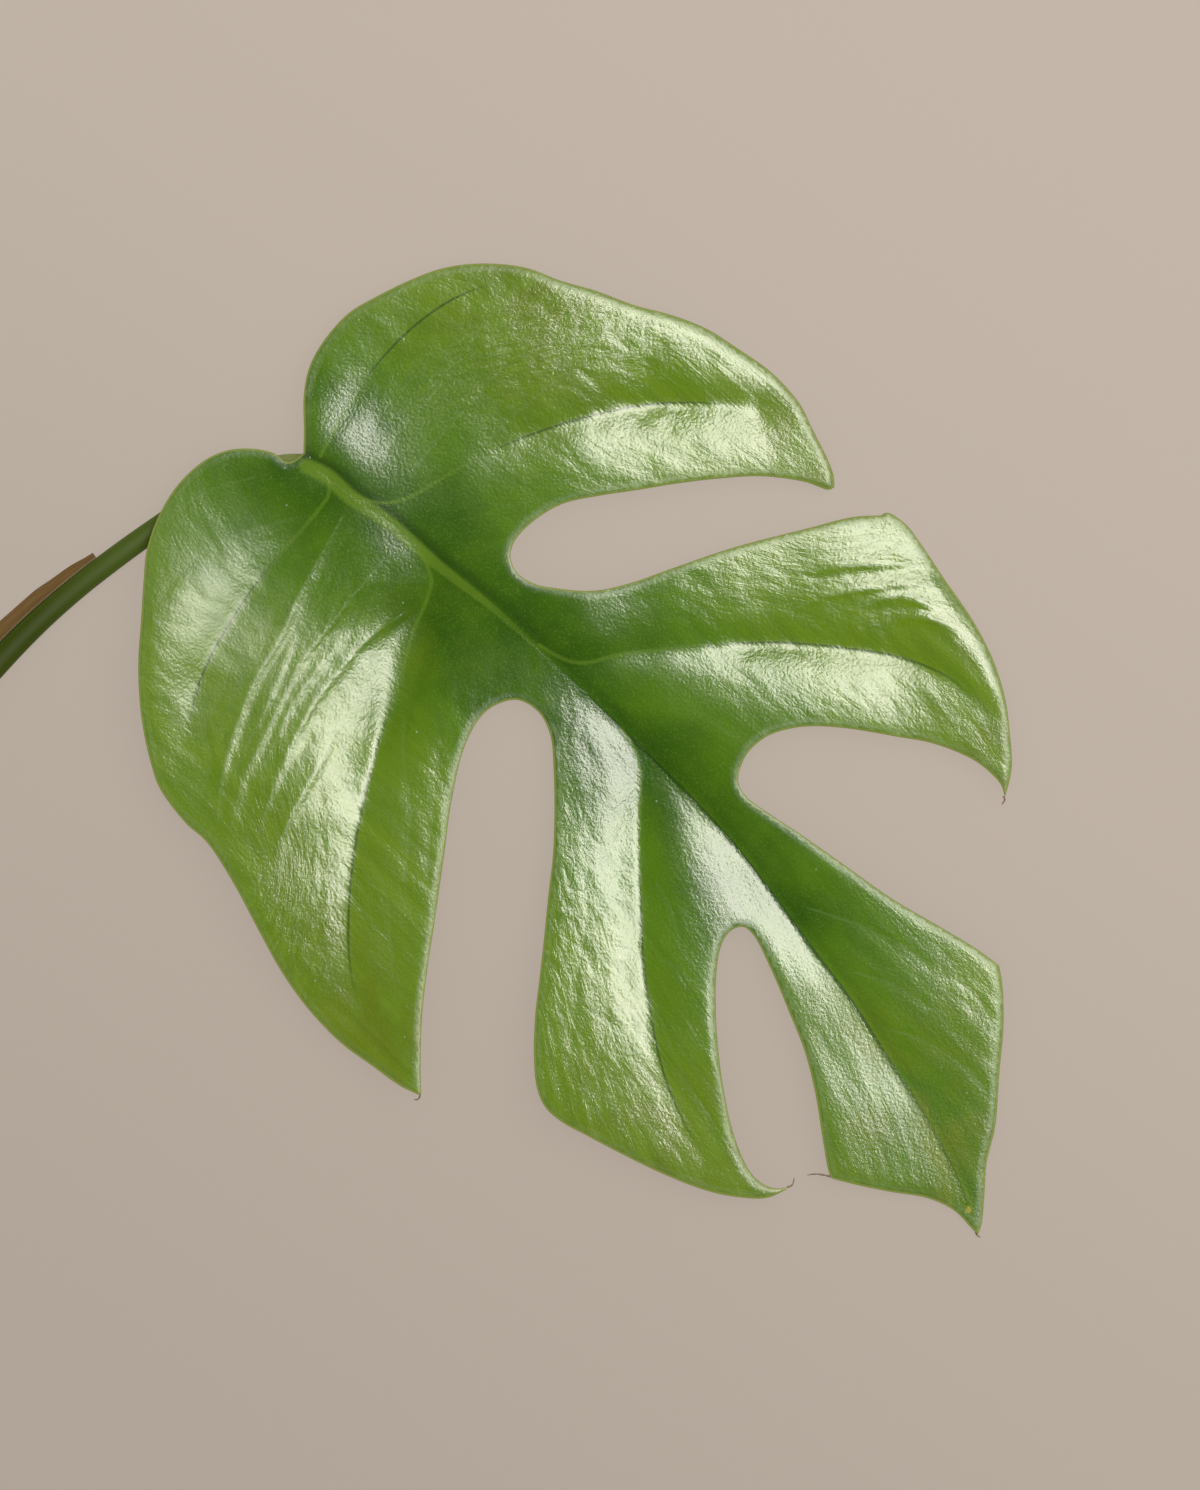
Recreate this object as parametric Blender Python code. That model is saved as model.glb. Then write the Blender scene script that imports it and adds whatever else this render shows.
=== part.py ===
"""A picked mini monstera leaf that lies on a surface, face up.

The leaf frame is in millimetres. +Y runs along the midrib, from the stalk's joint at
the origin to the apex. +X points to the side of the big whole lobe, the broad side,
and -X to the split side. +Z points out of the glossy upper face, and z = 0 is the
surface that the leaf lies on. One empty then puts the middle of the whole leaf's box,
at the surface, on the world's origin.
"""
import math

import bpy
import numpy as np
from mathutils import Vector
from mathutils.geometry import delaunay_2d_cdt

# Driving sizes, in millimetres. Every other size is drawn for a blade of DRAWN_LENGTH
# and follows BLADE_LENGTH.
BLADE_LENGTH = 154.0
DRAWN_LENGTH = 154.0
LAMINA_THICKNESS = 0.7
METRES = 0.001 * BLADE_LENGTH / DRAWN_LENGTH

# The triangles: their size, and in that size how far the lines beside a vein lie from
# it and how near two points may be
MESH_SPACING = 2.8
GUIDE_OFFSET = 0.6
CLEARANCE = 0.5

# The dome that the whole blade follows. Each side droops by SIDE_DROP at its own reach,
# by its own power of the distance from the middle. The margin rolls down a little, the
# face meets the surface and turns over a vein without a kink.
DOME_HEIGHT = 7.1
DOME_MIDDLE = (22.0, 57.0)
DOME_REACH = 97.0
SIDE_DROP = 9.5
SPLIT_SIDE = (95.0, 3.6)
BROAD_SIDE = (75.0, 2.0)
MARGIN_ROLL_DEPTH = 0.2
MARGIN_ROLL_WIDTH = 0.7
FLOOR_BLEND = 0.8
VEIN_ROUNDING = 0.8

# The ribs that stand out of the lower face under the veins
MIDRIB_DEPTH = 1.0
MIDRIB_HALF_WIDTH = 1.2
MIDRIB_START = (1.8, 4.5)
SIDE_RIB_DEPTH = 0.45
SIDE_RIB_HALF_WIDTH = 0.7

# The stalk
PETIOLE_SIDES = 16
PETIOLE_STEP = 2.2
FLAT_SHARE = 0.96

# The dry sheath beside the stalk
SHEATH_GAP = 0.4
SHEATH_THICKNESS = 0.6
SHEATH_SPAN = (33.0, 86.0)
SHEATH_STEP = 3.0

# The margin, clockwise from the notch at the stalk, as smooth stretches that meet at
# the lobes' tips and at the small teeth.
MARGIN = (
    # round the split side's basal lobe, out to its tip
    ((-1.0, -0.8), (-3.1, -3.1), (-6.9, -7.5), (-10.0, -9.9), (-13.8, -11.4),
     (-19.8, -12.2), (-24.7, -11.3), (-30.2, -9.8), (-34.8, -8.0), (-39.3, -5.0),
     (-44.1, 0.0), (-46.8, 5.0), (-50.0, 10.0), (-52.7, 15.0), (-56.1, 20.0),
     (-58.7, 25.0), (-60.2, 30.0), (-61.7, 36.2), (-61.8, 42.3), (-60.8, 46.2),
     (-58.7, 53.5), (-57.5, 55.3)),
    # the first split, round its end, and the near edge of the upper split lobe
    ((-57.5, 55.3), (-56.7, 55.1), (-54.8, 51.9), (-50.4, 46.9), (-45.0, 42.7),
     (-40.0, 39.3), (-35.0, 36.2), (-30.0, 33.0), (-25.0, 30.3), (-20.0, 29.4),
     (-16.0, 29.8), (-13.9, 31.2), (-13.1, 33.8), (-13.9, 36.6), (-16.0, 39.4),
     (-20.0, 43.4), (-25.0, 46.2), (-30.0, 48.2), (-40.0, 52.3), (-50.0, 57.3),
     (-56.8, 60.8), (-60.0, 63.3)),
    # the blunt outer end of that lobe, out to its tip
    ((-60.0, 63.3), (-60.9, 63.5), (-61.85, 66.5), (-61.6, 70.5), (-60.8, 76.5),
     (-59.9, 83.8), (-58.4, 90.0), (-55.9, 95.8), (-53.1, 100.1), (-49.5, 104.7),
     (-46.2, 107.1)),
    # the second split and the near edge of the end lobe, out to its shoulder tooth
    ((-46.2, 107.1), (-46.9, 105.6), (-46.9, 103.0), (-46.15, 99.6), (-43.3, 94.0),
     (-40.0, 89.8), (-35.0, 83.7), (-31.0, 79.8), (-28.1, 77.9), (-25.0, 76.7),
     (-21.0, 76.8), (-17.5, 78.9), (-16.8, 81.3), (-17.9, 86.5), (-19.0, 90.4),
     (-21.1, 99.0), (-23.2, 107.7), (-25.8, 115.5), (-27.7, 121.5), (-28.65, 125.65)),
    # from the shoulder tooth to the apex
    ((-28.65, 125.65), (-27.1, 128.2), (-23.1, 133.0), (-18.1, 137.8), (-12.3, 143.5),
     (-7.7, 146.8), (-4.2, 150.3), (-1.0, 153.3), (0.25, 154.0)),
    # from the apex to the end lobe's corner on the broad side
    ((0.25, 154.0), (0.3, 152.6), (0.5, 149.0), (2.3, 144.9), (6.0, 140.3),
     (9.2, 136.0), (11.1, 133.2)),
    # the third split, round its end, to the hooked tip of the middle lobe
    ((11.1, 133.2), (10.9, 132.3), (8.5, 128.2), (4.8, 122.3), (1.7, 116.3),
     (-0.4, 110.5), (-2.9, 102.9), (-4.1, 98.0), (-3.8, 96.0), (-2.0, 95.1),
     (0.3, 95.6), (3.4, 97.9), (8.0, 102.9), (12.0, 108.2), (15.1, 113.0),
     (17.3, 116.9), (19.2, 121.5), (19.9, 124.8), (19.5, 127.3), (18.4, 129.0),
     (17.0, 129.9)),
    # the outer edge of the middle lobe, the fourth split and the near edge of the
    # big lobe, out to its tip
    ((17.0, 129.9), (20.3, 128.9), (23.4, 126.1), (26.5, 122.0), (29.9, 115.4),
     (32.6, 108.9), (34.5, 103.9), (35.9, 100.1), (36.35, 96.8), (35.4, 93.8),
     (32.6, 89.9), (28.5, 85.5), (24.2, 81.6), (19.6, 77.4), (15.0, 73.1),
     (10.8, 69.3), (6.9, 65.2), (2.3, 59.8), (-1.0, 55.2), (-1.9, 51.5),
     (-0.8, 48.1), (1.9, 46.5), (5.0, 46.2), (10.0, 48.0), (16.9, 52.9),
     (23.1, 58.3), (30.8, 64.9), (36.6, 69.8), (42.0, 74.8), (46.6, 79.8),
     (49.3, 83.0)),
    # round the big lobe and its base, back to the notch
    ((49.3, 83.0), (50.6, 80.0), (51.8, 75.0), (53.1, 69.2), (53.4, 62.0),
     (52.7, 55.4), (51.2, 48.6), (49.3, 40.5), (48.3, 33.3), (48.8, 29.2),
     (48.3, 22.7), (46.8, 19.0), (43.6, 13.4), (38.9, 7.3), (33.5, 1.8),
     (30.0, -1.8), (26.1, -5.5), (21.5, -8.1), (16.2, -9.7), (11.0, -9.8),
     (7.3, -8.6), (4.0, -5.9), (2.4, -3.5), (2.0, -1.6), (1.0, -0.9), (-1.0, -0.8)),
)

# The veins. depth is how far the face dips along one, at even steps from its start to
# its end, and reach how fast the dip fades beside it. The midrib lies in a wide basin,
# and the broad side falls away from it.
MIDRIB = {
    "points": ((0.0, 1.0), (-1.3, 4.0), (-1.9, 8.8), (-3.6, 15.0), (-5.0, 25.0),
               (-6.9, 35.0), (-8.1, 45.0), (-9.0, 55.0), (-9.8, 65.0), (-10.5, 75.0),
               (-10.8, 85.0), (-10.2, 95.0), (-9.3, 105.0), (-8.5, 115.0), (-7.0, 125.0),
               (-5.5, 135.0), (-3.1, 145.0), (-1.2, 150.5)),
    "depth": (0.6, 0.6, 1.1, 1.9, 0.6, 0.3),
    "reach": 7.0,
    "basin": (0.0, 2.5, 3.5, 2.5, 1.0, 0.0),
    "basin_reach": 20.0,
    "broad_fall": (0.0, 4.5, 2.8, 0.0, 0.0, 0.0),
    "fall_reach": 14.0,
}
SIDE_VEINS = {
    "split_basal": {
        "points": ((-2.5, 1.2), (-8.0, -0.9), (-16.0, -3.3), (-25.0, -4.3), (-33.0, -3.5),
                   (-40.0, -1.0)),
        "depth": (0.3, 0.5, 0.3), "reach": 4.0,
    },
    "split_lower": {
        "points": ((-2.3, 8.6), (-3.6, 11.0), (-5.6, 13.1), (-8.4, 14.5), (-16.0, 16.0),
                   (-25.0, 18.3), (-35.0, 22.3), (-45.0, 27.9), (-52.5, 34.3),
                   (-56.4, 38.5)),
        "depth": (0.1, 0.9, 2.2, 3.2, 2.0), "reach": 6.5,
    },
    "split_upper": {
        "points": ((-8.5, 44.0), (-9.4, 46.8), (-10.6, 49.2), (-12.6, 51.0), (-16.4, 52.9),
                   (-25.0, 59.0), (-35.0, 66.7), (-42.9, 74.8), (-48.3, 81.5),
                   (-51.6, 88.5), (-52.3, 95.8)),
        "depth": (0.6, 2.0, 3.0, 2.6, 1.0), "reach": 7.0,
    },
    "broad_basal": {
        "points": ((-1.2, 3.4), (-0.8, 5.1), (0.3, 6.3), (2.4, 6.9), (7.2, 7.6),
                   (15.0, 8.6), (25.0, 11.2), (32.5, 14.2), (37.5, 17.4), (41.5, 20.6)),
        "depth": (0.8, 1.8, 2.0, 1.3, 0.5), "reach": 6.0,
    },
    "broad_lower": {
        "points": ((-4.3, 21.0), (-3.7, 24.0), (-2.6, 26.2), (-0.6, 27.6), (4.4, 30.0),
                   (12.0, 35.0), (20.5, 39.8), (28.0, 45.2), (35.0, 51.0), (40.0, 56.0),
                   (44.6, 61.6), (48.5, 69.0)),
        "depth": (0.7, 3.2, 3.3, 1.7, 0.9, 0.4), "reach": 5.5,
    },
    "broad_upper": {
        "points": ((-9.5, 61.5), (-8.9, 65.2), (-7.1, 68.6), (-3.5, 72.5), (1.2, 77.8),
                   (5.2, 82.7), (10.4, 89.2), (15.0, 96.0), (19.5, 104.0), (22.3, 112.0),
                   (23.6, 120.0)),
        "depth": (0.8, 2.8, 2.2, 1.1, 0.4), "reach": 6.0,
    },
}

# Soft hills and hollows of the face: middle, reach each way, height
HILLS = (
    ((-3.0, 2.0), (8.0, 8.0), 2.3),
    ((-14.0, 48.0), (8.0, 9.0), 1.4),
    ((-38.0, 18.0), (14.0, 14.0), 1.2),
    ((-45.0, 60.0), (14.0, 10.0), -0.9),
    ((2.0, 16.0), (9.0, 9.0), 0.5),
    ((60.0, 34.0), (26.0, 26.0), 4.8),
    ((28.0, 34.0), (13.0, 16.0), 1.4),
    ((36.0, 6.0), (16.0, 10.0), 2.0),
    ((-56.0, 14.0), (12.0, 24.0), 1.6),
    ((-36.0, -2.0), (14.0, 10.0), 0.6),
    ((-50.0, 2.0), (14.0, 12.0), 1.0),
    ((-64.0, 50.0), (10.0, 12.0), 1.6),
    ((-62.0, 65.0), (12.0, 12.0), -1.0),
    ((-56.0, 92.0), (10.0, 14.0), 2.0),
    ((-60.0, 104.0), (10.0, 10.0), 1.2),
    ((-14.0, 120.0), (8.0, 12.0), 0.35),
    ((6.0, 126.0), (8.0, 12.0), 0.5),
)

# The stalk's middle line: x, y, height of the middle, radius. A height of None lays
# the stalk on the surface.
PETIOLE = (
    (0.1, 0.6, 2.9, 1.75),
    (2.0, -0.9, 2.2, 1.9),
    (4.2, -2.4, 2.1, 1.8),
    (8.0, -4.3, 2.0, 1.6),
    (15.0, -6.1, 1.75, 1.62),
    (22.0, -7.0, None, 1.65),
    (30.0, -7.8, None, 1.7),
    (38.0, -8.3, None, 1.75),
    (46.0, -8.3, None, 1.85),
    (55.0, -7.6, None, 1.95),
    (65.0, -6.2, None, 2.05),
    (76.0, -4.3, None, 2.15),
    (88.0, -2.0, None, 2.25),
)
# The sheath's reach past the stalk's side: x, reach
SHEATH_REACH = ((33.0, 0.9), (37.0, 1.35), (43.0, 1.95), (50.0, 2.1), (86.0, 2.5))


def smooth_line(points, spacing):
    """Points about spacing apart on a centripetal Catmull-Rom curve through points."""
    knots = np.array(points, dtype=float)
    padded = np.vstack([2 * knots[0] - knots[1], knots, 2 * knots[-1] - knots[-2]])
    fine = []
    for p0, p1, p2, p3 in zip(padded, padded[1:], padded[2:], padded[3:]):
        t1 = np.linalg.norm(p1 - p0) ** 0.5
        t2 = t1 + np.linalg.norm(p2 - p1) ** 0.5
        t3 = t2 + np.linalg.norm(p3 - p2) ** 0.5
        t = np.linspace(t1, t2, 12, endpoint=False)[:, None]
        a1 = (t1 - t) / t1 * p0 + t / t1 * p1
        a2 = (t2 - t) / (t2 - t1) * p1 + (t - t1) / (t2 - t1) * p2
        a3 = (t3 - t) / (t3 - t2) * p2 + (t - t2) / (t3 - t2) * p3
        b1 = (t2 - t) / t2 * a1 + t / t2 * a2
        b2 = (t3 - t) / (t3 - t1) * a2 + (t - t1) / (t3 - t1) * a3
        fine.append((t2 - t) / (t2 - t1) * b1 + (t - t1) / (t2 - t1) * b2)
    fine = np.vstack(fine + [knots[-1:]])
    run = np.concatenate([[0.0], np.cumsum(np.linalg.norm(np.diff(fine, axis=0), axis=1))])
    count = max(2, int(round(run[-1] / spacing)) + 1)
    even = np.linspace(0.0, run[-1], count)
    return np.column_stack([np.interp(even, run, column) for column in fine.T])


def margin_loop(spacing):
    """The whole margin as one closed loop of points, each corner kept."""
    return np.vstack([smooth_line(stretch, spacing)[:-1] for stretch in MARGIN])


def to_line(points, line):
    """Distance from each point to a line, and how far along it, from 0 to 1."""
    steps = np.diff(line, axis=0)
    lengths = np.linalg.norm(steps, axis=1)
    starts = np.concatenate([[0.0], np.cumsum(lengths)])
    nearest = np.full(len(points), np.inf)
    along = np.zeros(len(points))
    for start, step, length, begun in zip(line, steps, lengths, starts):
        share = np.clip((points - start) @ step / length ** 2, 0.0, 1.0)
        gap = np.linalg.norm(points - start - share[:, None] * step, axis=1)
        closer = gap < nearest
        nearest[closer] = gap[closer]
        along[closer] = (begun + share[closer] * length) / starts[-1]
    return nearest, along


def inside(points, loop):
    """Which points lie inside a closed loop."""
    crossings = np.zeros(len(points), dtype=int)
    x, y = points.T
    for (ax, ay), (bx, by) in zip(loop, np.roll(loop, -1, axis=0)):
        spans = (ay > y) != (by > y)
        if spans.any():
            cut = ax + (y[spans] - ay) * (bx - ax) / (by - ay)
            crossings[spans] += x[spans] < cut
    return crossings % 2 == 1


def smooth_step(share):
    """A smooth rise from 0 to 1."""
    return share * share * (3.0 - 2.0 * share)


def share_along(points, vein):
    """How far along a vein's straight chord each point lies, from 0 to 1."""
    start, end = np.array(vein["points"][0]), np.array(vein["points"][-1])
    chord = end - start
    return np.clip((points - start) @ chord / (chord @ chord), 0.0, 1.0)


def eased(share, values):
    """A smooth run through evenly spaced values."""
    count = len(values) - 1
    step = np.clip(np.floor(share * count), 0, count - 1).astype(int)
    part = smooth_step(share * count - step)
    values = np.array(values)
    return values[step] + (values[step + 1] - values[step]) * part


def hill(points, middle, reach, rise):
    """The height that one soft hill adds at each point."""
    away = (points - np.array(middle)) / np.array(reach)
    return rise * np.exp(-(away ** 2).sum(axis=1))


def dome(points):
    """Height of the smooth dome, before the veins are sunk into it."""
    x, y = (points - np.array(DOME_MIDDLE)).T
    droop = np.where(x < 0.0, np.abs(x / SPLIT_SIDE[0]) ** SPLIT_SIDE[1],
                     np.abs(x / BROAD_SIDE[0]) ** BROAD_SIDE[1])
    height = DOME_HEIGHT * (1.0 - (y / DOME_REACH) ** 2) - SIDE_DROP * droop
    return height + sum(hill(points, *each) for each in HILLS)


def beside_midrib(points):
    """How far the face sinks beside the midrib: its basin and the broad side's fall."""
    line = smooth_line(MIDRIB["points"], 1.0)
    gap, _ = to_line(points, line)
    run = share_along(points, MIDRIB)
    broad = points[:, 0] > np.interp(points[:, 1], line[:, 1], line[:, 0])
    basin = eased(run, MIDRIB["basin"]) * np.exp(-gap / MIDRIB["basin_reach"])
    fall = eased(run, MIDRIB["broad_fall"]) * (1.0 - np.exp(-gap / MIDRIB["fall_reach"]))
    return basin + np.where(broad, fall, 0.0)


def vein_dip(points, vein):
    """How far the face dips at each point towards one vein."""
    gap, _ = to_line(points, smooth_line(vein["points"], 1.0))
    soft_gap = np.hypot(gap, VEIN_ROUNDING) - VEIN_ROUNDING
    return eased(share_along(points, vein), vein["depth"]) * np.exp(-soft_gap / vein["reach"])


def lower_face(points, loop):
    """Height of the lamina's lower face over the surface, veins' ribs left out."""
    height = dome(points) - beside_midrib(points)
    for vein in (MIDRIB, *SIDE_VEINS.values()):
        height -= vein_dip(points, vein)
    edge, _ = to_line(points, np.vstack([loop, loop[:1]]))
    height -= MARGIN_ROLL_DEPTH * np.exp(-edge / MARGIN_ROLL_WIDTH)
    blended = (height + FLOOR_BLEND) ** 2 / (4.0 * FLOOR_BLEND)
    return np.where(height > FLOOR_BLEND, height,
                    np.where(height < -FLOOR_BLEND, 0.0, blended))


def rib_depth(points):
    """How far the ribs under the veins stand out of the lower face."""
    gap, _ = to_line(points, smooth_line(MIDRIB["points"], 2.0))
    starts, full = MIDRIB_START
    rise = np.clip((points[:, 1] - starts) / (full - starts), 0.0, 1.0)
    depth = MIDRIB_DEPTH * rise * np.exp(-(gap / MIDRIB_HALF_WIDTH) ** 2)
    for vein in SIDE_VEINS.values():
        gap, _ = to_line(points, smooth_line(vein["points"], 2.0))
        rib = SIDE_RIB_DEPTH * rise * np.exp(-(gap / SIDE_RIB_HALF_WIDTH) ** 2)
        depth = np.maximum(depth, rib)
    return depth


def beside(line, offset):
    """A line moved sideways by offset."""
    run = np.gradient(line, axis=0)
    run /= np.linalg.norm(run, axis=1)[:, None]
    return line + offset * np.column_stack([-run[:, 1], run[:, 0]])


def vein_guides(spacing):
    """Lines along every vein and close beside it, for the triangles to follow."""
    guides = []
    for vein in (MIDRIB, *SIDE_VEINS.values()):
        middle = smooth_line(vein["points"], spacing)
        guides += [middle, beside(middle, spacing * GUIDE_OFFSET),
                   beside(middle, -spacing * GUIDE_OFFSET)]
    return guides


def even_grid(loop, spacing):
    """Points of an even triangular grid over the loop's box."""
    rows = spacing * math.sqrt(3.0) / 2.0
    low, high = loop.min(axis=0), loop.max(axis=0)
    grid = []
    for row, y in enumerate(np.arange(low[1], high[1], rows)):
        shift = spacing / 2.0 * (row % 2)
        grid += [(x + shift, y) for x in np.arange(low[0], high[0], spacing)]
    return np.array(grid)


def clear_points(group, loop, kept, spacing):
    """Which points of a group lie inside the loop, clear of it and of those kept."""
    edge = np.vstack([loop, loop[:1]])
    clear = inside(group, loop) & (to_line(group, edge)[0] > spacing * 0.5)
    near = np.array([np.hypot(*(kept - point).T).min() for point in group])
    return clear & (near > spacing * CLEARANCE)


def blade_grid(loop, spacing):
    """Triangles over the blade: its margin, lines along the veins, an even grid."""
    kept, links = loop, []
    for guide in vein_guides(spacing):
        clear = clear_points(guide, loop, kept, spacing)
        number = len(kept) + np.cumsum(clear) - 1
        links += [(int(a), int(a) + 1) for a, here, then in zip(number, clear, clear[1:])
                  if here and then]
        kept = np.vstack([kept, guide[clear]])
    grid = even_grid(loop, spacing)
    kept = np.vstack([kept, grid[clear_points(grid, loop, kept, spacing)]])
    flat = [Vector(point) for point in kept]
    around = [list(range(len(loop)))]
    spots, _, faces, _, _, _ = delaunay_2d_cdt(flat, links, around, 1, 1e-7)
    return np.array([tuple(spot) for spot in spots]), faces


def closed_sheet(spots, faces, bottom, top):
    """Points and faces of a sheet between two heights over the same triangles."""
    count = len(spots)
    points = np.vstack([np.column_stack([spots, top]), np.column_stack([spots, bottom])])
    edges = {(a, b) for face in faces for a, b in zip(face, face[1:] + face[:1])}
    rim = [edge for edge in edges if (edge[1], edge[0]) not in edges]
    shell = [tuple(face) for face in faces]
    shell += [tuple(index + count for index in reversed(face)) for face in faces]
    for a, b in sorted(rim):
        shell.append((b, a, a + count))
        shell.append((b, a + count, b + count))
    return points, shell


def leaf_blade():
    """The blade, with its ribs below."""
    loop = margin_loop(MESH_SPACING)
    if np.cross(loop, np.roll(loop, -1, axis=0)).sum() < 0.0:
        loop = loop[::-1]
    spots, faces = blade_grid(loop, MESH_SPACING)
    lamina = lower_face(spots, loop)
    bottom = np.maximum(lamina - rib_depth(spots), 0.0)
    return closed_sheet(spots, faces, bottom, lamina + LAMINA_THICKNESS)


def petiole_line(spacing):
    """The stalk's middle line as x, y, height and radius at even steps."""
    laid = [(x, y, radius * FLAT_SHARE if height is None else height, radius)
            for x, y, height, radius in PETIOLE]
    return smooth_line(laid, spacing)


def side_ways(line):
    """Level unit vectors that point to the -Y side of a line, and its run."""
    run = np.gradient(line[:, :3], axis=0)
    run /= np.linalg.norm(run, axis=1)[:, None]
    level = np.column_stack([run[:, 1], -run[:, 0], np.zeros(len(run))])
    return level / np.linalg.norm(level, axis=1)[:, None], run


def swept(rings):
    """Points and faces of a body through rings of points, closed at both ends."""
    sides = len(rings[0])
    points = [point for ring in rings for point in ring]
    faces = []
    for row in range(len(rings) - 1):
        for a in range(sides):
            b = (a + 1) % sides
            corner, across = row * sides + a, row * sides + b
            faces.append((corner, across, across + sides, corner + sides))
    faces.append(tuple(reversed(range(sides))))
    last = (len(rings) - 1) * sides
    faces.append(tuple(range(last, last + sides)))
    return np.array(points), faces


def petiole():
    """The stalk: a tube that swells at the blade and lies on a narrow flat."""
    line = petiole_line(PETIOLE_STEP)
    level, run = side_ways(line)
    rings = []
    for (x, y, height, radius), out, ahead in zip(line, level, run):
        above = np.cross(out, ahead)
        above *= math.copysign(1.0, above[2])
        ring = []
        for side in range(PETIOLE_SIDES):
            turn = 2.0 * math.pi * (side + 0.5) / PETIOLE_SIDES
            point = np.array([x, y, height])
            point += radius * (math.cos(turn) * above + math.sin(turn) * out)
            point[2] = max(point[2], 0.0)
            ring.append(point)
        rings.append(ring)
    return swept(rings)


def petiole_sheath():
    """The dry strip that lies along the stalk, a bent film beside it."""
    line = petiole_line(PETIOLE_STEP)
    stations = np.arange(SHEATH_SPAN[0], SHEATH_SPAN[1] + 0.1, SHEATH_STEP)
    at = np.column_stack([np.interp(stations, line[:, 0], column) for column in line.T])
    level, _ = side_ways(at)
    reach = np.interp(stations, *np.array(SHEATH_REACH).T)
    half = SHEATH_THICKNESS / 2.0
    rings = []
    for (x, y, height, radius), out, wide in zip(at, level, reach):
        hug = radius + SHEATH_GAP + half
        bends = [(hug * math.cos(turn), hug * math.sin(turn))
                 for turn in (math.radians(12.0), math.radians(-8.0))]
        bends.append((radius + wide, 0.06 + half - height))
        bends = np.array(bends)
        across = np.gradient(bends, axis=0)
        across /= np.linalg.norm(across, axis=1)[:, None]
        normal = np.column_stack([-across[:, 1], across[:, 0]]) * half
        section = np.vstack([bends + normal, (bends - normal)[::-1]])
        rings.append([np.array([x, y, height]) + out * u + np.array([0.0, 0.0, v])
                      for u, v in section])
    return swept(rings)


def material(name, colour, roughness):
    """A Principled material with the part's own colour."""
    made = bpy.data.materials.new(name)
    made.use_nodes = True
    shader = made.node_tree.nodes["Principled BSDF"]
    shader.inputs["Base Color"].default_value = (*colour, 1.0)
    shader.inputs["Roughness"].default_value = roughness
    shader.inputs["Metallic"].default_value = 0.0
    return made


def body(name, shape, made, frame):
    """One closed object of the leaf, carried by the leaf's frame."""
    points, faces = shape
    mesh = bpy.data.meshes.new(name)
    mesh.from_pydata((points * METRES).tolist(), [], faces)
    mesh.materials.append(made)
    mesh.shade_smooth()
    mesh.set_sharp_from_angle(angle=math.radians(40.0))
    placed = bpy.data.objects.new(name, mesh)
    bpy.context.collection.objects.link(placed)
    placed.parent = frame
    return placed


def main():
    """Clear the scene and build the leaf."""
    for old in list(bpy.data.objects):
        bpy.data.objects.remove(old)
    shapes = {"leaf_blade": leaf_blade(), "petiole": petiole(),
              "petiole_sheath": petiole_sheath()}
    looks = {"leaf_blade": material("leaf_green", (0.075, 0.19, 0.018), 0.4),
             "petiole": material("stalk_green", (0.16, 0.24, 0.05), 0.5),
             "petiole_sheath": material("dry_sheath", (0.3, 0.17, 0.07), 0.8)}
    every = np.vstack([points for points, _ in shapes.values()])
    middle = (every.min(axis=0) + every.max(axis=0)) / 2.0 * METRES
    frame = bpy.data.objects.new("leaf_frame", None)
    bpy.context.collection.objects.link(frame)
    frame.location = (-middle[0], -middle[1], 0.0)
    for name, shape in shapes.items():
        body(name, shape, looks[name], frame)


main()
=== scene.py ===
"""The looks of a picked mini monstera leaf that lies face up on a pale floor.

Shapes are drawn in the leaf frame, in millimetres: +Y along the midrib from the stalk's
joint to the apex, +X towards the broad side with the big whole lobe, +Z out of the
glossy upper face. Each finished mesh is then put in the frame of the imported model.
"""
import math

import bpy
import numpy as np
from mathutils import Matrix, Vector, kdtree, noise
from mathutils.geometry import delaunay_2d_cdt


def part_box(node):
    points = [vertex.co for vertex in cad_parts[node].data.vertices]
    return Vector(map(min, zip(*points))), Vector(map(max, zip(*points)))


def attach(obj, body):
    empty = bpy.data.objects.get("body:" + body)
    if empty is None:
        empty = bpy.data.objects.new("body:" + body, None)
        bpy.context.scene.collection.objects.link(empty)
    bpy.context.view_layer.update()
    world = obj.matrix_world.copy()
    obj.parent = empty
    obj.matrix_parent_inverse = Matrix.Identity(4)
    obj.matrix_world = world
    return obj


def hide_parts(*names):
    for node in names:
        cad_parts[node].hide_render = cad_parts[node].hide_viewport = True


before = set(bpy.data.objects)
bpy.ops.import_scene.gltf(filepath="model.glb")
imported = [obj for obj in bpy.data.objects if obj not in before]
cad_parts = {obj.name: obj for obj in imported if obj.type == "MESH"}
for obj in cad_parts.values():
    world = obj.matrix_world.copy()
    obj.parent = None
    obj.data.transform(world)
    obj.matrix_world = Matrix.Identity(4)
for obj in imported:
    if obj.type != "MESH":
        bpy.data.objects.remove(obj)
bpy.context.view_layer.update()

MM = 0.001

# The blade's surface, in millimetres. The spacings are those of the points along the
# margin, here and in the solid.
BLADE_SPACING = 0.53
SOLID_SPACING = 2.8
LAMINA_THICKNESS = 0.42
RIM_BULGE = 0.1
LIFT = 0.04
DOME_HEIGHT = 7.1
DOME_MIDDLE = (22.0, 57.0)
DOME_REACH = 97.0
SIDE_DROP = 9.5
SPLIT_SIDE = (95.0, 3.6)
BROAD_SIDE = (75.0, 2.0)
MARGIN_ROLL_DEPTH = 0.2
MARGIN_ROLL_WIDTH = 0.7
FLOOR_BLEND = 0.8
VEIN_ROUNDING = 0.8
MIDRIB_DEPTH = 1.0
MIDRIB_HALF_WIDTH = 1.2
MIDRIB_START = (1.8, 4.5)
SIDE_RIB_DEPTH = 0.45
SIDE_RIB_HALF_WIDTH = 0.7
LEAST_HEIGHT = 0.02

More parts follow.
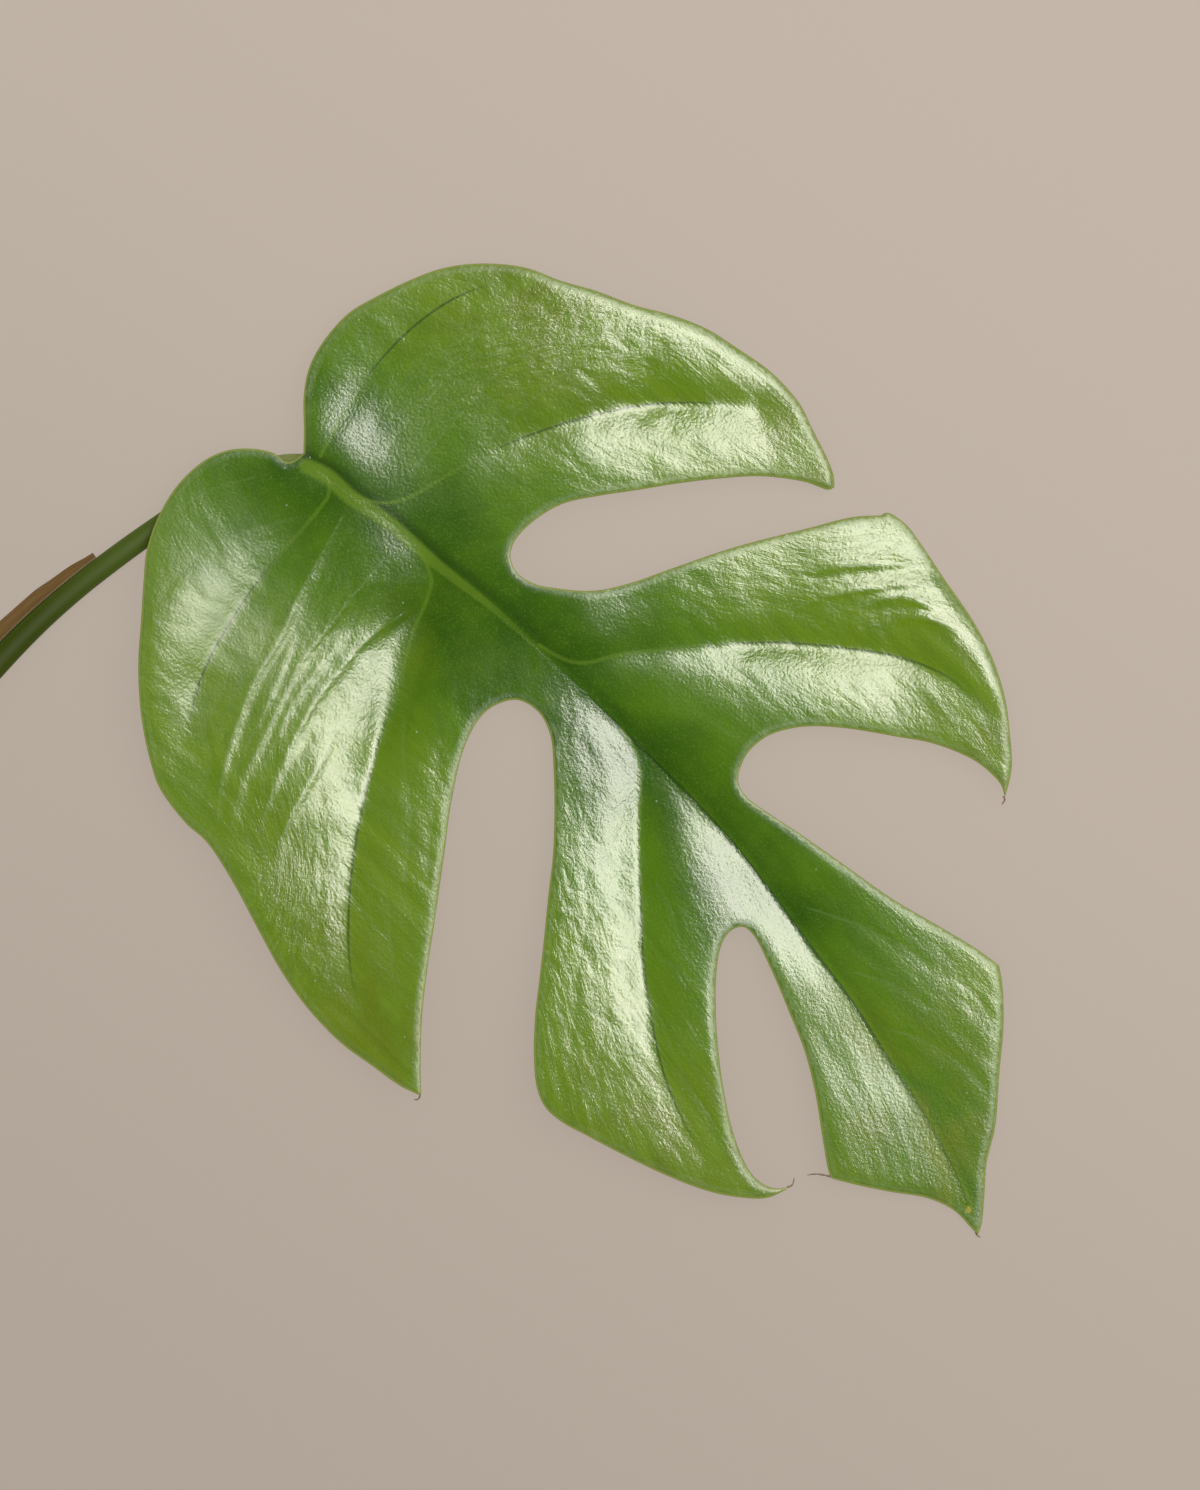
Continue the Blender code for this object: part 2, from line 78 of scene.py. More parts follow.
# The stalk and its dry sheath, in millimetres
FLAT_SHARE = 0.96
STALK_SIDES = 40
STALK_STEP = 0.8
SHEATH_GAP = 0.12
SHEATH_SPAN = (33.0, 86.0)
SHEATH_STEP = 0.6
SHEATH_HALF_THICKNESS = 0.12
SHEATH_UNEVEN = 0.12

# The camera looks straight down, turned so that the leaf lies as in the photograph
CAMERA_AIM = (-5.5, 61.3, 3.5)
CAMERA_DISTANCE = 1241.6
CAMERA_LENS = 200.0
CAMERA_SENSOR = 36.0
IMAGE_RIGHT = (-0.7520, 0.6592, 0.0)
IMAGE_UP = (-0.6592, -0.7520, 0.0)

# The light: the level way to it, its height in degrees, distance and size in metres,
# and the point of the leaf that it is aimed at, in millimetres
LIGHT_WAY = (-0.99, 0.12)
LIGHT_HEIGHT = 60.0
LIGHT_DISTANCE = 1.2
LIGHT_AIM = (-5.0, 60.0, 5.0)
GLOSS_SIZE = (1.3, 0.45)
GLOW_SIZE = (1.3, 0.7)
SOFT_SIZE = (1.0, 1.0)
GLOSS_POWER = 33.5
GLOW_POWER = 14.0
SOFT_POWER = 7.0
GLOSS_TINT = (1.0, 0.91, 0.91)
SURROUND = 0.55

# The floor lies on a light table: part of its tone is its own glow, and it is painted brighter
# on the side towards the lights, as painted light. Its reach is in metres.
FLOOR_SHADY = (0.09, 0.0775, 0.065, 1.0)
FLOOR_SUNNY = (0.116, 0.0995, 0.0845, 1.0)
FLOOR_GLOW = 4.0
FLOOR_TONE_WAY = (-0.97, -0.24)
FLOOR_TONE_REACH = 160.0
FLOOR_REACH = 3.0

MARGIN = (
    # round the split side's basal lobe, out to its tip
    ((-1.0, -0.8), (-3.1, -3.1), (-6.9, -7.5), (-10.0, -9.9), (-13.8, -11.4),
     (-19.8, -12.2), (-24.7, -11.3), (-30.2, -9.8), (-34.8, -8.0), (-39.3, -5.0),
     (-44.1, 0.0), (-46.8, 5.0), (-50.0, 10.0), (-52.7, 15.0), (-56.1, 20.0),
     (-58.7, 25.0), (-60.2, 30.0), (-61.7, 36.2), (-61.8, 42.3), (-60.8, 46.2),
     (-58.7, 53.5), (-57.5, 55.3)),
    # the first split, round its end, and the near edge of the upper split lobe
    ((-57.5, 55.3), (-56.7, 55.1), (-54.8, 51.9), (-50.4, 46.9), (-45.0, 42.7),
     (-40.0, 39.3), (-35.0, 36.2), (-30.0, 33.0), (-25.0, 30.3), (-20.0, 29.4),
     (-16.0, 29.8), (-13.9, 31.2), (-13.1, 33.8), (-13.9, 36.6), (-16.0, 39.4),
     (-20.0, 43.4), (-25.0, 46.2), (-30.0, 48.2), (-40.0, 52.3), (-50.0, 57.3),
     (-56.8, 60.8), (-60.0, 63.3)),
    # the blunt outer end of that lobe, out to its tip
    ((-60.0, 63.3), (-60.9, 63.5), (-61.85, 66.5), (-61.6, 70.5), (-60.8, 76.5),
     (-59.9, 83.8), (-58.4, 90.0), (-55.9, 95.8), (-53.1, 100.1), (-49.5, 104.7),
     (-46.2, 107.1)),
    # the second split and the near edge of the end lobe, out to its shoulder tooth
    ((-46.2, 107.1), (-46.9, 105.6), (-46.9, 103.0), (-46.15, 99.6), (-43.3, 94.0),
     (-40.0, 89.8), (-35.0, 83.7), (-31.0, 79.8), (-28.1, 77.9), (-25.0, 76.7),
     (-21.0, 76.8), (-17.5, 78.9), (-16.8, 81.3), (-17.9, 86.5), (-19.0, 90.4),
     (-21.1, 99.0), (-23.2, 107.7), (-25.8, 115.5), (-27.7, 121.5), (-28.65, 125.65)),
    # from the shoulder tooth to the apex
    ((-28.65, 125.65), (-27.1, 128.2), (-23.1, 133.0), (-18.1, 137.8), (-12.3, 143.5),
     (-7.7, 146.8), (-4.2, 150.3), (-1.0, 153.3), (0.25, 154.0)),
    # from the apex to the end lobe's corner on the broad side
    ((0.25, 154.0), (0.3, 152.6), (0.5, 149.0), (2.3, 144.9), (6.0, 140.3),
     (9.2, 136.0), (11.1, 133.2)),
    # the third split, round its end, to the hooked tip of the middle lobe
    ((11.1, 133.2), (10.9, 132.3), (8.5, 128.2), (4.8, 122.3), (1.7, 116.3),
     (-0.4, 110.5), (-2.9, 102.9), (-4.1, 98.0), (-3.8, 96.0), (-2.0, 95.1),
     (0.3, 95.6), (3.4, 97.9), (8.0, 102.9), (12.0, 108.2), (15.1, 113.0),
     (17.3, 116.9), (19.2, 121.5), (19.9, 124.8), (19.5, 127.3), (18.4, 129.0),
     (17.0, 129.9)),
    # the outer edge of the middle lobe, the fourth split and the near edge of the
    # big lobe, out to its tip
    ((17.0, 129.9), (20.3, 128.9), (23.4, 126.1), (26.5, 122.0), (29.9, 115.4),
     (32.6, 108.9), (34.5, 103.9), (35.9, 100.1), (36.35, 96.8), (35.4, 93.8),
     (32.6, 89.9), (28.5, 85.5), (24.2, 81.6), (19.6, 77.4), (15.0, 73.1),
     (10.8, 69.3), (6.9, 65.2), (2.3, 59.8), (-1.0, 55.2), (-1.9, 51.5),
     (-0.8, 48.1), (1.9, 46.5), (5.0, 46.2), (10.0, 48.0), (16.9, 52.9),
     (23.1, 58.3), (30.8, 64.9), (36.6, 69.8), (42.0, 74.8), (46.6, 79.8),
     (49.3, 83.0)),
    # round the big lobe and its base, back to the notch
    ((49.3, 83.0), (50.6, 80.0), (51.8, 75.0), (53.1, 69.2), (53.4, 62.0),
     (52.7, 55.4), (51.2, 48.6), (49.3, 40.5), (48.3, 33.3), (48.8, 29.2),
     (48.3, 22.7), (46.8, 19.0), (43.6, 13.4), (38.9, 7.3), (33.5, 1.8),
     (30.0, -1.8), (26.1, -5.5), (21.5, -8.1), (16.2, -9.7), (11.0, -9.8),
     (7.3, -8.6), (4.0, -5.9), (2.4, -3.5), (2.0, -1.6), (1.0, -0.9), (-1.0, -0.8)),
)

# The veins. depth is how far the face dips along one, at even steps, and reach how
# fast the dip fades beside it. basin is a wide hollow along the midrib, and broad_fall
# how far the broad side drops below it. tip carries the run of the fine veins on to
# the lobe's tip, and rank orders the veins along the midrib.
MIDRIB = {
    "points": ((0.0, 1.0), (-1.3, 4.0), (-1.9, 8.8), (-3.6, 15.0), (-5.0, 25.0),
               (-6.9, 35.0), (-8.1, 45.0), (-9.0, 55.0), (-9.8, 65.0), (-10.5, 75.0),
               (-10.8, 85.0), (-10.2, 95.0), (-9.3, 105.0), (-8.5, 115.0), (-7.0, 125.0),
               (-5.5, 135.0), (-3.1, 145.0), (-1.2, 150.5)),
    "depth": (0.6, 0.6, 1.1, 1.9, 0.6, 0.3),
    "reach": 7.0,
    "basin": (0.0, 2.5, 3.5, 2.5, 1.0, 0.0),
    "basin_reach": 20.0,
    "broad_fall": (0.0, 4.5, 2.8, 0.0, 0.0, 0.0),
    "fall_reach": 14.0,
}
SIDE_VEINS = {
    "split_basal": {
        "points": ((-2.5, 1.2), (-8.0, -0.9), (-16.0, -3.3), (-25.0, -4.3), (-33.0, -3.5),
                   (-40.0, -1.0)),
        "depth": (0.3, 0.5, 0.3), "reach": 4.0,
        "tip": (), "side": -1, "rank": 1,
    },
    "split_lower": {
        "points": ((-2.3, 8.6), (-3.6, 11.0), (-5.6, 13.1), (-8.4, 14.5), (-16.0, 16.0),
                   (-25.0, 18.3), (-35.0, 22.3), (-45.0, 27.9), (-52.5, 34.3),
                   (-56.4, 38.5)),
        "depth": (0.1, 0.9, 2.2, 3.2, 2.0), "reach": 6.5,
        "tip": ((-58.4, 44.5), (-58.0, 52.0)), "side": -1, "rank": 2,
    },
    "split_upper": {
        "points": ((-8.5, 44.0), (-9.4, 46.8), (-10.6, 49.2), (-12.6, 51.0), (-16.4, 52.9),
                   (-25.0, 59.0), (-35.0, 66.7), (-42.9, 74.8), (-48.3, 81.5),
                   (-51.6, 88.5), (-52.3, 95.8)),
        "depth": (0.6, 2.0, 3.0, 2.6, 1.0), "reach": 7.0,
        "tip": ((-50.5, 102.0), (-47.0, 106.0)), "side": -1, "rank": 3,
    },
    "broad_basal": {
        "points": ((-1.2, 3.4), (-0.8, 5.1), (0.3, 6.3), (2.4, 6.9), (7.2, 7.6),
                   (15.0, 8.6), (25.0, 11.2), (32.5, 14.2), (37.5, 17.4), (41.5, 20.6)),
        "depth": (0.8, 1.8, 2.0, 1.3, 0.5), "reach": 6.0,
        "tip": ((46.0, 28.0), (48.5, 40.0)), "side": 1, "rank": 1,
    },
    "broad_lower": {
        "points": ((-4.3, 21.0), (-3.7, 24.0), (-2.6, 26.2), (-0.6, 27.6), (4.4, 30.0),
                   (12.0, 35.0), (20.5, 39.8), (28.0, 45.2), (35.0, 51.0), (40.0, 56.0),
                   (44.6, 61.6), (48.5, 69.0)),
        "depth": (0.7, 3.2, 3.3, 1.7, 0.9, 0.4), "reach": 5.5,
        "tip": ((49.6, 78.0), (49.4, 82.0)), "side": 1, "rank": 2,
    },
    "broad_upper": {
        "points": ((-9.5, 61.5), (-8.9, 65.2), (-7.1, 68.6), (-3.5, 72.5), (1.2, 77.8),
                   (5.2, 82.7), (10.4, 89.2), (15.0, 96.0), (19.5, 104.0), (22.3, 112.0),
                   (23.6, 120.0)),
        "depth": (0.8, 2.8, 2.2, 1.1, 0.4), "reach": 6.0,
        "tip": ((22.0, 126.5), (18.5, 129.4)), "side": 1, "rank": 3,
    },
}
APEX_RANK = 4.0

# The fine veins that show most, as pleats of the face and as pale lines
PLEATS = (
    ((0.9, 10.1), (5.3, 11.7), (14.0, 14.8), (20.2, 17.8), (26.7, 19.8), (33.2, 23.1),
     (39.9, 27.3), (44.9, 32.0)),
    ((0.4, 19.0), (7.9, 20.1), (13.6, 21.2), (19.3, 22.2), (24.8, 24.4), (33.2, 27.9),
     (38.2, 30.1), (44.3, 34.3)),
    ((9.6, 24.1), (14.4, 24.1), (18.8, 25.0), (23.8, 26.0), (29.4, 28.2), (34.3, 30.5)),
    ((2.7, 27.1), (9.8, 26.3), (16.4, 27.1), (21.4, 28.0), (27.3, 30.0), (34.5, 33.4),
     (41.8, 37.7)),
    ((22.0, 33.0), (28.5, 36.0), (32.6, 37.4), (38.2, 39.7), (43.4, 42.9)),
    ((16.0, 18.0), (23.2, 21.6), (29.9, 24.8), (35.4, 27.0)),
    ((-45.1, 61.3), (-51.2, 65.7), (-57.0, 70.4), (-60.2, 73.6)),
    ((-40.6, 65.0), (-45.6, 66.8), (-52.8, 71.4), (-57.8, 75.5), (-59.8, 79.2)),
    ((-47.3, 70.9), (-53.8, 74.0), (-56.2, 78.0), (-59.0, 82.4)),
    ((-51.1, 75.6), (-55.3, 79.9), (-57.4, 85.0)),
)
FINE_VEINS = (
    ((6.0, 5.7), (9.9, 4.0), (14.1, 1.9), (19.4, 0.5), (24.2, 0.5), (31.4, 1.9)),
    ((10.9, 5.8), (14.7, 4.7), (18.5, 4.4), (24.3, 4.0)),
    ((28.0, 15.7), (32.9, 18.6), (37.5, 20.5), (39.8, 24.5), (44.7, 28.0)),
    ((6.9, -2.9), (11.8, -5.4), (16.7, -6.7), (23.1, -6.9)),
    ((14.0, 39.0), (18.1, 43.4), (20.3, 46.9), (23.5, 51.3), (26.5, 54.0), (29.9, 57.4),
     (32.1, 61.3)),
    ((11.9, 44.6), (17.1, 49.7), (22.3, 54.4), (27.4, 59.6)),
    ((31.0, 47.6), (31.6, 51.2), (32.6, 55.4), (34.3, 58.6), (37.2, 62.3), (39.5, 65.7)),
    ((37.1, 53.3), (37.7, 57.2), (37.5, 61.7)),
    ((32.3, 37.6), (37.5, 39.8), (41.3, 41.1)),
    ((12.9, 79.4), (20.0, 85.3), (23.1, 88.0), (28.8, 93.8)),
    ((19.3, 91.4), (24.9, 95.9), (27.8, 98.8), (31.9, 104.6)),
    ((0.3, 72.9), (5.9, 76.1), (9.3, 78.5)),
    ((1.9, 82.3), (2.4, 85.9), (4.6, 90.8)),
    ((13.9, 96.0), (17.3, 105.3), (18.9, 114.0)),
    ((-12.8, 100.3), (-15.6, 104.9), (-18.3, 110.4), (-19.9, 114.3), (-20.9, 118.9)),
    ((-11.8, 112.2), (-14.8, 117.3), (-16.5, 123.2)),
    ((-9.4, 121.3), (-12.3, 125.7), (-14.0, 130.3), (-14.9, 134.9), (-14.9, 138.5)),
    ((-21.7, 121.5), (-23.0, 125.7), (-22.7, 131.0)),
    ((-2.0, 114.8), (-1.2, 118.5), (0.1, 123.6)),
    ((-20.0, 16.2), (-26.9, 15.6), (-32.8, 15.7), (-38.6, 16.0)),
    ((-11.7, 11.9), (-18.9, 10.7), (-28.0, 9.7), (-32.7, 9.0)),
    ((-10.2, 7.2), (-17.4, 5.3), (-26.5, 3.6), (-32.7, 2.8)),
    ((-12.0, 2.6), (-16.0, 2.0), (-25.0, 1.3), (-35.0, 2.8)),
    ((-7.1, -7.2), (-11.7, -9.3), (-17.5, -10.5), (-22.3, -10.4)),
)
PLEAT_HEIGHT = 0.7
PLEAT_FALL = 1.15
PLEAT_RISE = 2.8
PLEAT_END_SHARE = 0.1
FINE_GROOVE_DEPTH = 0.06
FINE_GROOVE_WIDTH = 0.6

# How crinkled the face is: beside the midrib, farther out and at most, how far the
# change runs, and where there is more or less: middle, reach each way, turn, change
CRINKLE_INNER = 0.45
CRINKLE_OUTER = 1.0
CRINKLE_MOST = 1.6
CRINKLE_RUN = (4.0, 24.0)
CRINKLED = (
    ((-50.0, 20.0), (16.0, 18.0), 0.0, 0.5),
    ((-12.0, 20.0), (16.0, 30.0), 0.0, -0.3),
    ((10.0, 75.0), (14.0, 25.0), -30.0, 0.6),
    ((30.0, 50.0), (12.0, 20.0), -40.0, 0.3),
    ((-50.0, 72.0), (14.0, 14.0), 0.0, 0.3),
)

# Where the blade is less glossy: middle, reach, turn and added roughness
DULLER = (
    ((23.0, 7.0), (10.0, 16.0), 0.0, 0.14),
    ((28.0, 25.0), (12.0, 18.0), 0.0, 0.07),
)

# Where the green turns yellower, at the lobes' tips and in patches
YELLOWED = (
    ((-40.0, 8.0), (14.0, 12.0), 20.0, 1.1),
    ((-58.5, 47.0), (7.0, 10.0), 0.0, 1.1),
    ((-53.0, 95.0), (9.0, 14.0), 0.0, 0.9),
    ((47.5, 70.0), (8.0, 15.0), 0.0, 1.2),
    ((40.0, 46.0), (8.0, 12.0), 0.0, 0.7),
    ((24.0, 111.0), (12.0, 18.0), 0.0, 1.1),
    ((-6.0, 134.0), (13.0, 17.0), 0.0, 1.2),
    ((-1.0, 150.5), (5.0, 4.0), 0.0, 0.9),
    ((8.0, 30.0), (12.0, 9.0), 40.0, 0.5),
)
YELLOW_SPOT = ((-1.0, 150.3), (0.7, 0.45), 20.0)

# Soft hills and hollows of the face: middle, reach each way, height
HILLS = (
    ((-3.0, 2.0), (8.0, 8.0), 2.3),
    ((-14.0, 48.0), (8.0, 9.0), 1.4),
    ((-38.0, 18.0), (14.0, 14.0), 1.2),
    ((-45.0, 60.0), (14.0, 10.0), -0.9),
    ((2.0, 16.0), (9.0, 9.0), 0.5),
    ((60.0, 34.0), (26.0, 26.0), 4.8),
    ((28.0, 34.0), (13.0, 16.0), 1.4),
    ((36.0, 6.0), (16.0, 10.0), 2.0),
    ((-56.0, 14.0), (12.0, 24.0), 1.6),
    ((-36.0, -2.0), (14.0, 10.0), 0.6),
    ((-50.0, 2.0), (14.0, 12.0), 1.0),
    ((-64.0, 50.0), (10.0, 12.0), 1.6),
    ((-62.0, 65.0), (12.0, 12.0), -1.0),
    ((-56.0, 92.0), (10.0, 14.0), 2.0),
    ((-60.0, 104.0), (10.0, 10.0), 1.2),
    ((-14.0, 120.0), (8.0, 12.0), 0.35),
    ((6.0, 126.0), (8.0, 12.0), 0.5),
)
# How the fine veins slant forward along the midrib, and the relief between them
FINE_VEIN_SLANT = ((0.0, 0.1), (25.0, 0.35), (60.0, 0.9), (110.0, 1.7))
FINE_VEINS_PER_RANK = 9.0
FINE_RIB_HEIGHT = 0.05
UNEVEN_HEIGHT = 0.1
CRINKLE_HEIGHT = 0.05
NET_LENGTH = 3.6
NET_HEIGHT = 0.04
NET_SWAY = 0.5
NET_WALL = 0.35
FLOW_WIDTH = 26.0
FLOW_STRETCH = 0.6

# The upper face's small relief in the finish: size and height, in millimetres
CREPE = (1.4, 0.075)
CRUMPLE = (2.8, 0.07)
GRAIN = (0.45, 0.044)

# Roughness of the glossy face, its spread, and what the lower face and the rim add
GLOSSY = 0.197
GLOSSY_SPREAD = 0.07
LOWER_DULLER = 0.3
RIM_DULLER = 0.25

# The stalk's middle line: x, y, height of the middle, radius; None lies on the floor
PETIOLE = (
    (0.1, 0.6, 2.9, 1.75),
    (2.0, -0.9, 2.2, 1.9),
    (4.2, -2.4, 2.1, 1.8),
    (8.0, -4.3, 2.0, 1.6),
    (15.0, -6.1, 1.75, 1.62),
    (22.0, -7.0, None, 1.65),
    (30.0, -7.8, None, 1.7),
    (38.0, -8.3, None, 1.75),
    (46.0, -8.3, None, 1.85),
    (55.0, -7.6, None, 1.95),
    (65.0, -6.2, None, 2.05),
    (76.0, -4.3, None, 2.15),
    (88.0, -2.0, None, 2.25),
)
# The dried threads at the lobes' tips, from the root outwards
THREADS = (
    ((0.25, 153.6), (0.45, 154.1), (0.3, 154.7)),
    ((-46.0, 107.0), (-45.8, 107.5), (-45.0, 107.8)),
    ((11.1, 132.9), (11.85, 131.9), (12.7, 131.0), (13.65, 130.4)),
    ((17.1, 129.7), (16.6, 129.95), (16.15, 129.9), (15.4, 129.4)),
    ((49.1, 82.7), (49.7, 83.2), (50.1, 83.2), (50.5, 82.9)),
)
THREAD_RADIUS = 0.16
THREAD_SIDES = 8
THREAD_STEP = 0.12
THREAD_DROOP = 0.5
THREAD_TAPER = 0.55
# How far the sheath stands out from the stalk: x and reach
SHEATH_REACH = ((33.0, 0.9), (37.0, 1.35), (43.0, 1.95), (50.0, 2.1), (86.0, 2.5))


# Lines and distances

def smooth_line(points, spacing):
    """Points about spacing apart on a centripetal Catmull-Rom curve through points."""
    knots = np.array(points, dtype=float)
    padded = np.vstack([2 * knots[0] - knots[1], knots, 2 * knots[-1] - knots[-2]])
    fine = []
    for p0, p1, p2, p3 in zip(padded, padded[1:], padded[2:], padded[3:]):
        t1 = np.linalg.norm(p1 - p0) ** 0.5
        t2 = t1 + np.linalg.norm(p2 - p1) ** 0.5
        t3 = t2 + np.linalg.norm(p3 - p2) ** 0.5
        t = np.linspace(t1, t2, 12, endpoint=False)[:, None]
        a1 = (t1 - t) / t1 * p0 + t / t1 * p1
        a2 = (t2 - t) / (t2 - t1) * p1 + (t - t1) / (t2 - t1) * p2
        a3 = (t3 - t) / (t3 - t2) * p2 + (t - t2) / (t3 - t2) * p3
        b1 = (t2 - t) / t2 * a1 + t / t2 * a2
        b2 = (t3 - t) / (t3 - t1) * a2 + (t - t1) / (t3 - t1) * a3
        fine.append((t2 - t) / (t2 - t1) * b1 + (t - t1) / (t2 - t1) * b2)
    fine = np.vstack(fine + [knots[-1:]])
    run = np.concatenate([[0.0], np.cumsum(np.linalg.norm(np.diff(fine, axis=0), axis=1))])
    count = max(2, int(round(run[-1] / spacing)) + 1)
    even = np.linspace(0.0, run[-1], count)
    return np.column_stack([np.interp(even, run, column) for column in fine.T])


def margin_loop(spacing):
    """The whole margin as one closed loop of points, each corner kept."""
    loop = np.vstack([smooth_line(stretch, spacing)[:-1] for stretch in MARGIN])
    ahead = np.roll(loop, -1, axis=0)
    turning = (loop[:, 0] * ahead[:, 1] - loop[:, 1] * ahead[:, 0]).sum()
    return loop if turning > 0.0 else loop[::-1]


def to_line(points, line):
    """Distance from each point to a line, and how far along it, from 0 to 1."""
    steps = np.diff(line, axis=0)
    lengths = np.linalg.norm(steps, axis=1)
    starts = np.concatenate([[0.0], np.cumsum(lengths)])
    nearest = np.full(len(points), np.inf)
    along = np.zeros(len(points))
    for start, step, length, begun in zip(line, steps, lengths, starts):
        share = np.clip((points - start) @ step / length ** 2, 0.0, 1.0)
        gap = np.hypot(*(points - start - share[:, None] * step).T)
        closer = gap < nearest
        nearest[closer] = gap[closer]
        along[closer] = (begun + share[closer] * length) / starts[-1]
    return nearest, along


def beside(points, line):
    """Distance to a line, the side it lies on (1 left, -1 right), and share along it."""
    steps = np.diff(line, axis=0)
    nearest = np.full(len(points), np.inf)
    side = np.zeros(len(points))
    along = np.zeros(len(points))
    for number, (start, step) in enumerate(zip(line, steps)):
        share = np.clip((points - start) @ step / (step @ step), 0.0, 1.0)
        away = points - start - share[:, None] * step
        gap = np.hypot(*away.T)
        turn = (step[0] * away[:, 1] - step[1] * away[:, 0]) / np.hypot(*step)
        closer = gap < nearest
        nearest[closer] = gap[closer]
        side[closer] = (turn / np.maximum(gap, 1e-6))[closer]
        along[closer] = ((number + share) / len(steps))[closer]
    return nearest, side, along


def inside(points, loop):
    """Which points lie inside a closed loop."""
    crossings = np.zeros(len(points), dtype=int)
    x, y = points.T
    for (ax, ay), (bx, by) in zip(loop, np.roll(loop, -1, axis=0)):
        spans = (ay > y) != (by > y)
        if spans.any():
            cut = ax + (y[spans] - ay) * (bx - ax) / (by - ay)
            crossings[spans] += x[spans] < cut
    return crossings % 2 == 1


def smooth_step(value, low, high):
    """0 below low, 1 above high, smooth between."""
    share = np.clip((value - low) / (high - low), 0.0, 1.0)
    return share * share * (3.0 - 2.0 * share)


def spot(points, middle, reach, turn=0.0):
    """A soft round or oval spot: 1 at its middle, fading over reach."""
    away = points - np.array(middle)
    c, s = math.cos(math.radians(turn)), math.sin(math.radians(turn))
    u = (away[:, 0] * c + away[:, 1] * s) / reach[0]
    v = (away[:, 1] * c - away[:, 0] * s) / reach[1]
    return np.exp(-(u * u + v * v))


def spots_sum(points, table):
    """The sum of soft spots, each with its middle, reach each way, turn and share."""
    return sum(share * spot(points, *place) for *place, share in table)


def rough(points, size, seed):
    """Smooth noise between about -1 and 1 with features of one size."""
    return np.array([noise.noise(Vector((x / size, y / size, seed))) for x, y in points])


# The blade's fields and heights

def blade_fields(points, loop):
    """What the blade's shape and finish are made from, for each point."""
    midrib = smooth_line(MIDRIB["points"], 1.0)
    mid, mid_run = to_line(points, midrib)
    across = np.interp(points[:, 1], midrib[:, 1], midrib[:, 0])
    side = np.where(points[:, 0] > across, 1.0, -1.0)
    length = np.hypot(*np.diff(midrib, axis=0).T).sum()
    veins = {name: to_line(points, smooth_line(vein["points"], 1.0))
             for name, vein in SIDE_VEINS.items()}
    edge, _ = to_line(points, np.vstack([loop, loop[:1]]))
    fields = {"mid": mid, "mid_run": mid_run, "side": side, "edge": edge, "veins": veins}
    fields["flow"] = fine_vein_flow(points, midrib, mid, mid_run * length, side)
    gaps = [to_line(points, smooth_line(line, 2.0))[0] for line in FINE_VEINS]
    fields["fine"] = np.min(gaps, axis=0)
    fields["pleat"], fields["pleat_rise"] = pleat_fields(points)
    outward = smooth_step(mid, *CRINKLE_RUN)
    crinkle = CRINKLE_INNER + (CRINKLE_OUTER - CRINKLE_INNER) * outward
    crinkle += spots_sum(points, CRINKLED)
    fields["crinkle"] = np.clip(crinkle, 0.0, CRINKLE_MOST)
    fields["yellow"] = spots_sum(points, YELLOWED)
    fields["scar"] = spot(points, *YELLOW_SPOT)
    fields["dull"] = spots_sum(points, DULLER)
    return fields


def pleat_fields(points):
    """Distance to the nearest pleat's crest, and the height of the pleats."""
    nearest = np.full(len(points), np.inf)
    rise = np.zeros(len(points))
    for line in PLEATS:
        gap, side, along = beside(points, smooth_line(line, 2.0))
        outward = side * math.copysign(1.0, line[-1][0] - line[0][0])
        reach = PLEAT_RISE + (PLEAT_FALL - PLEAT_RISE) * (1.0 + outward) / 2.0
        swell = np.sin(math.pi * np.clip(along, 0.0, 1.0))
        ends = PLEAT_END_SHARE + (1.0 - PLEAT_END_SHARE) * swell
        rise = np.maximum(rise, PLEAT_HEIGHT * ends * np.exp(-gap / reach))
        nearest = np.minimum(nearest, gap)
    return nearest, rise


def fine_vein_flow(points, midrib, mid, mid_run, side):
    """A value that is the same along each fine vein and rises from base to apex."""
    slant = np.interp(mid_run, *zip(*FINE_VEIN_SLANT))
    source = mid_run - mid * slant
    flow = np.zeros(len(points))
    for sign in (-1, 1):
        here = side == sign
        ranks, starts = [0.0], [-14.0]
        weight = 1.0 / (mid[here] + 1.0) ** 2
        veins = [vein for vein in SIDE_VEINS.values() if vein["side"] == sign]
        for vein in veins:
            _, begun = to_line(np.array(vein["points"][:1]), midrib)
            ranks.append(vein["rank"])
            starts.append(begun[0] * mid_run.max())
        ranks.append(APEX_RANK)
        starts.append(mid_run.max() + 10.0)
        total = weight * np.interp(source[here], starts, ranks)
        for vein in veins:
            line = smooth_line(vein["points"] + vein["tip"], 1.0)
            gap, _ = to_line(points[here], line)
            pull = 1.0 / (gap + 0.4) ** 2
            total += pull * vein["rank"]
            weight = weight + pull
        flow[here] = total / weight
    return flow


def share_along(points, vein):
    """How far along a vein's straight chord each point lies, from 0 to 1."""
    start, end = np.array(vein["points"][0]), np.array(vein["points"][-1])
    chord = end - start
    return np.clip((points - start) @ chord / (chord @ chord), 0.0, 1.0)


def eased(share, values):
    """A smooth run through evenly spaced values."""
    count = len(values) - 1
    step = np.clip(np.floor(share * count), 0, count - 1).astype(int)
    part = smooth_step(share * count - step, 0.0, 1.0)
    values = np.array(values)
    return values[step] + (values[step + 1] - values[step]) * part


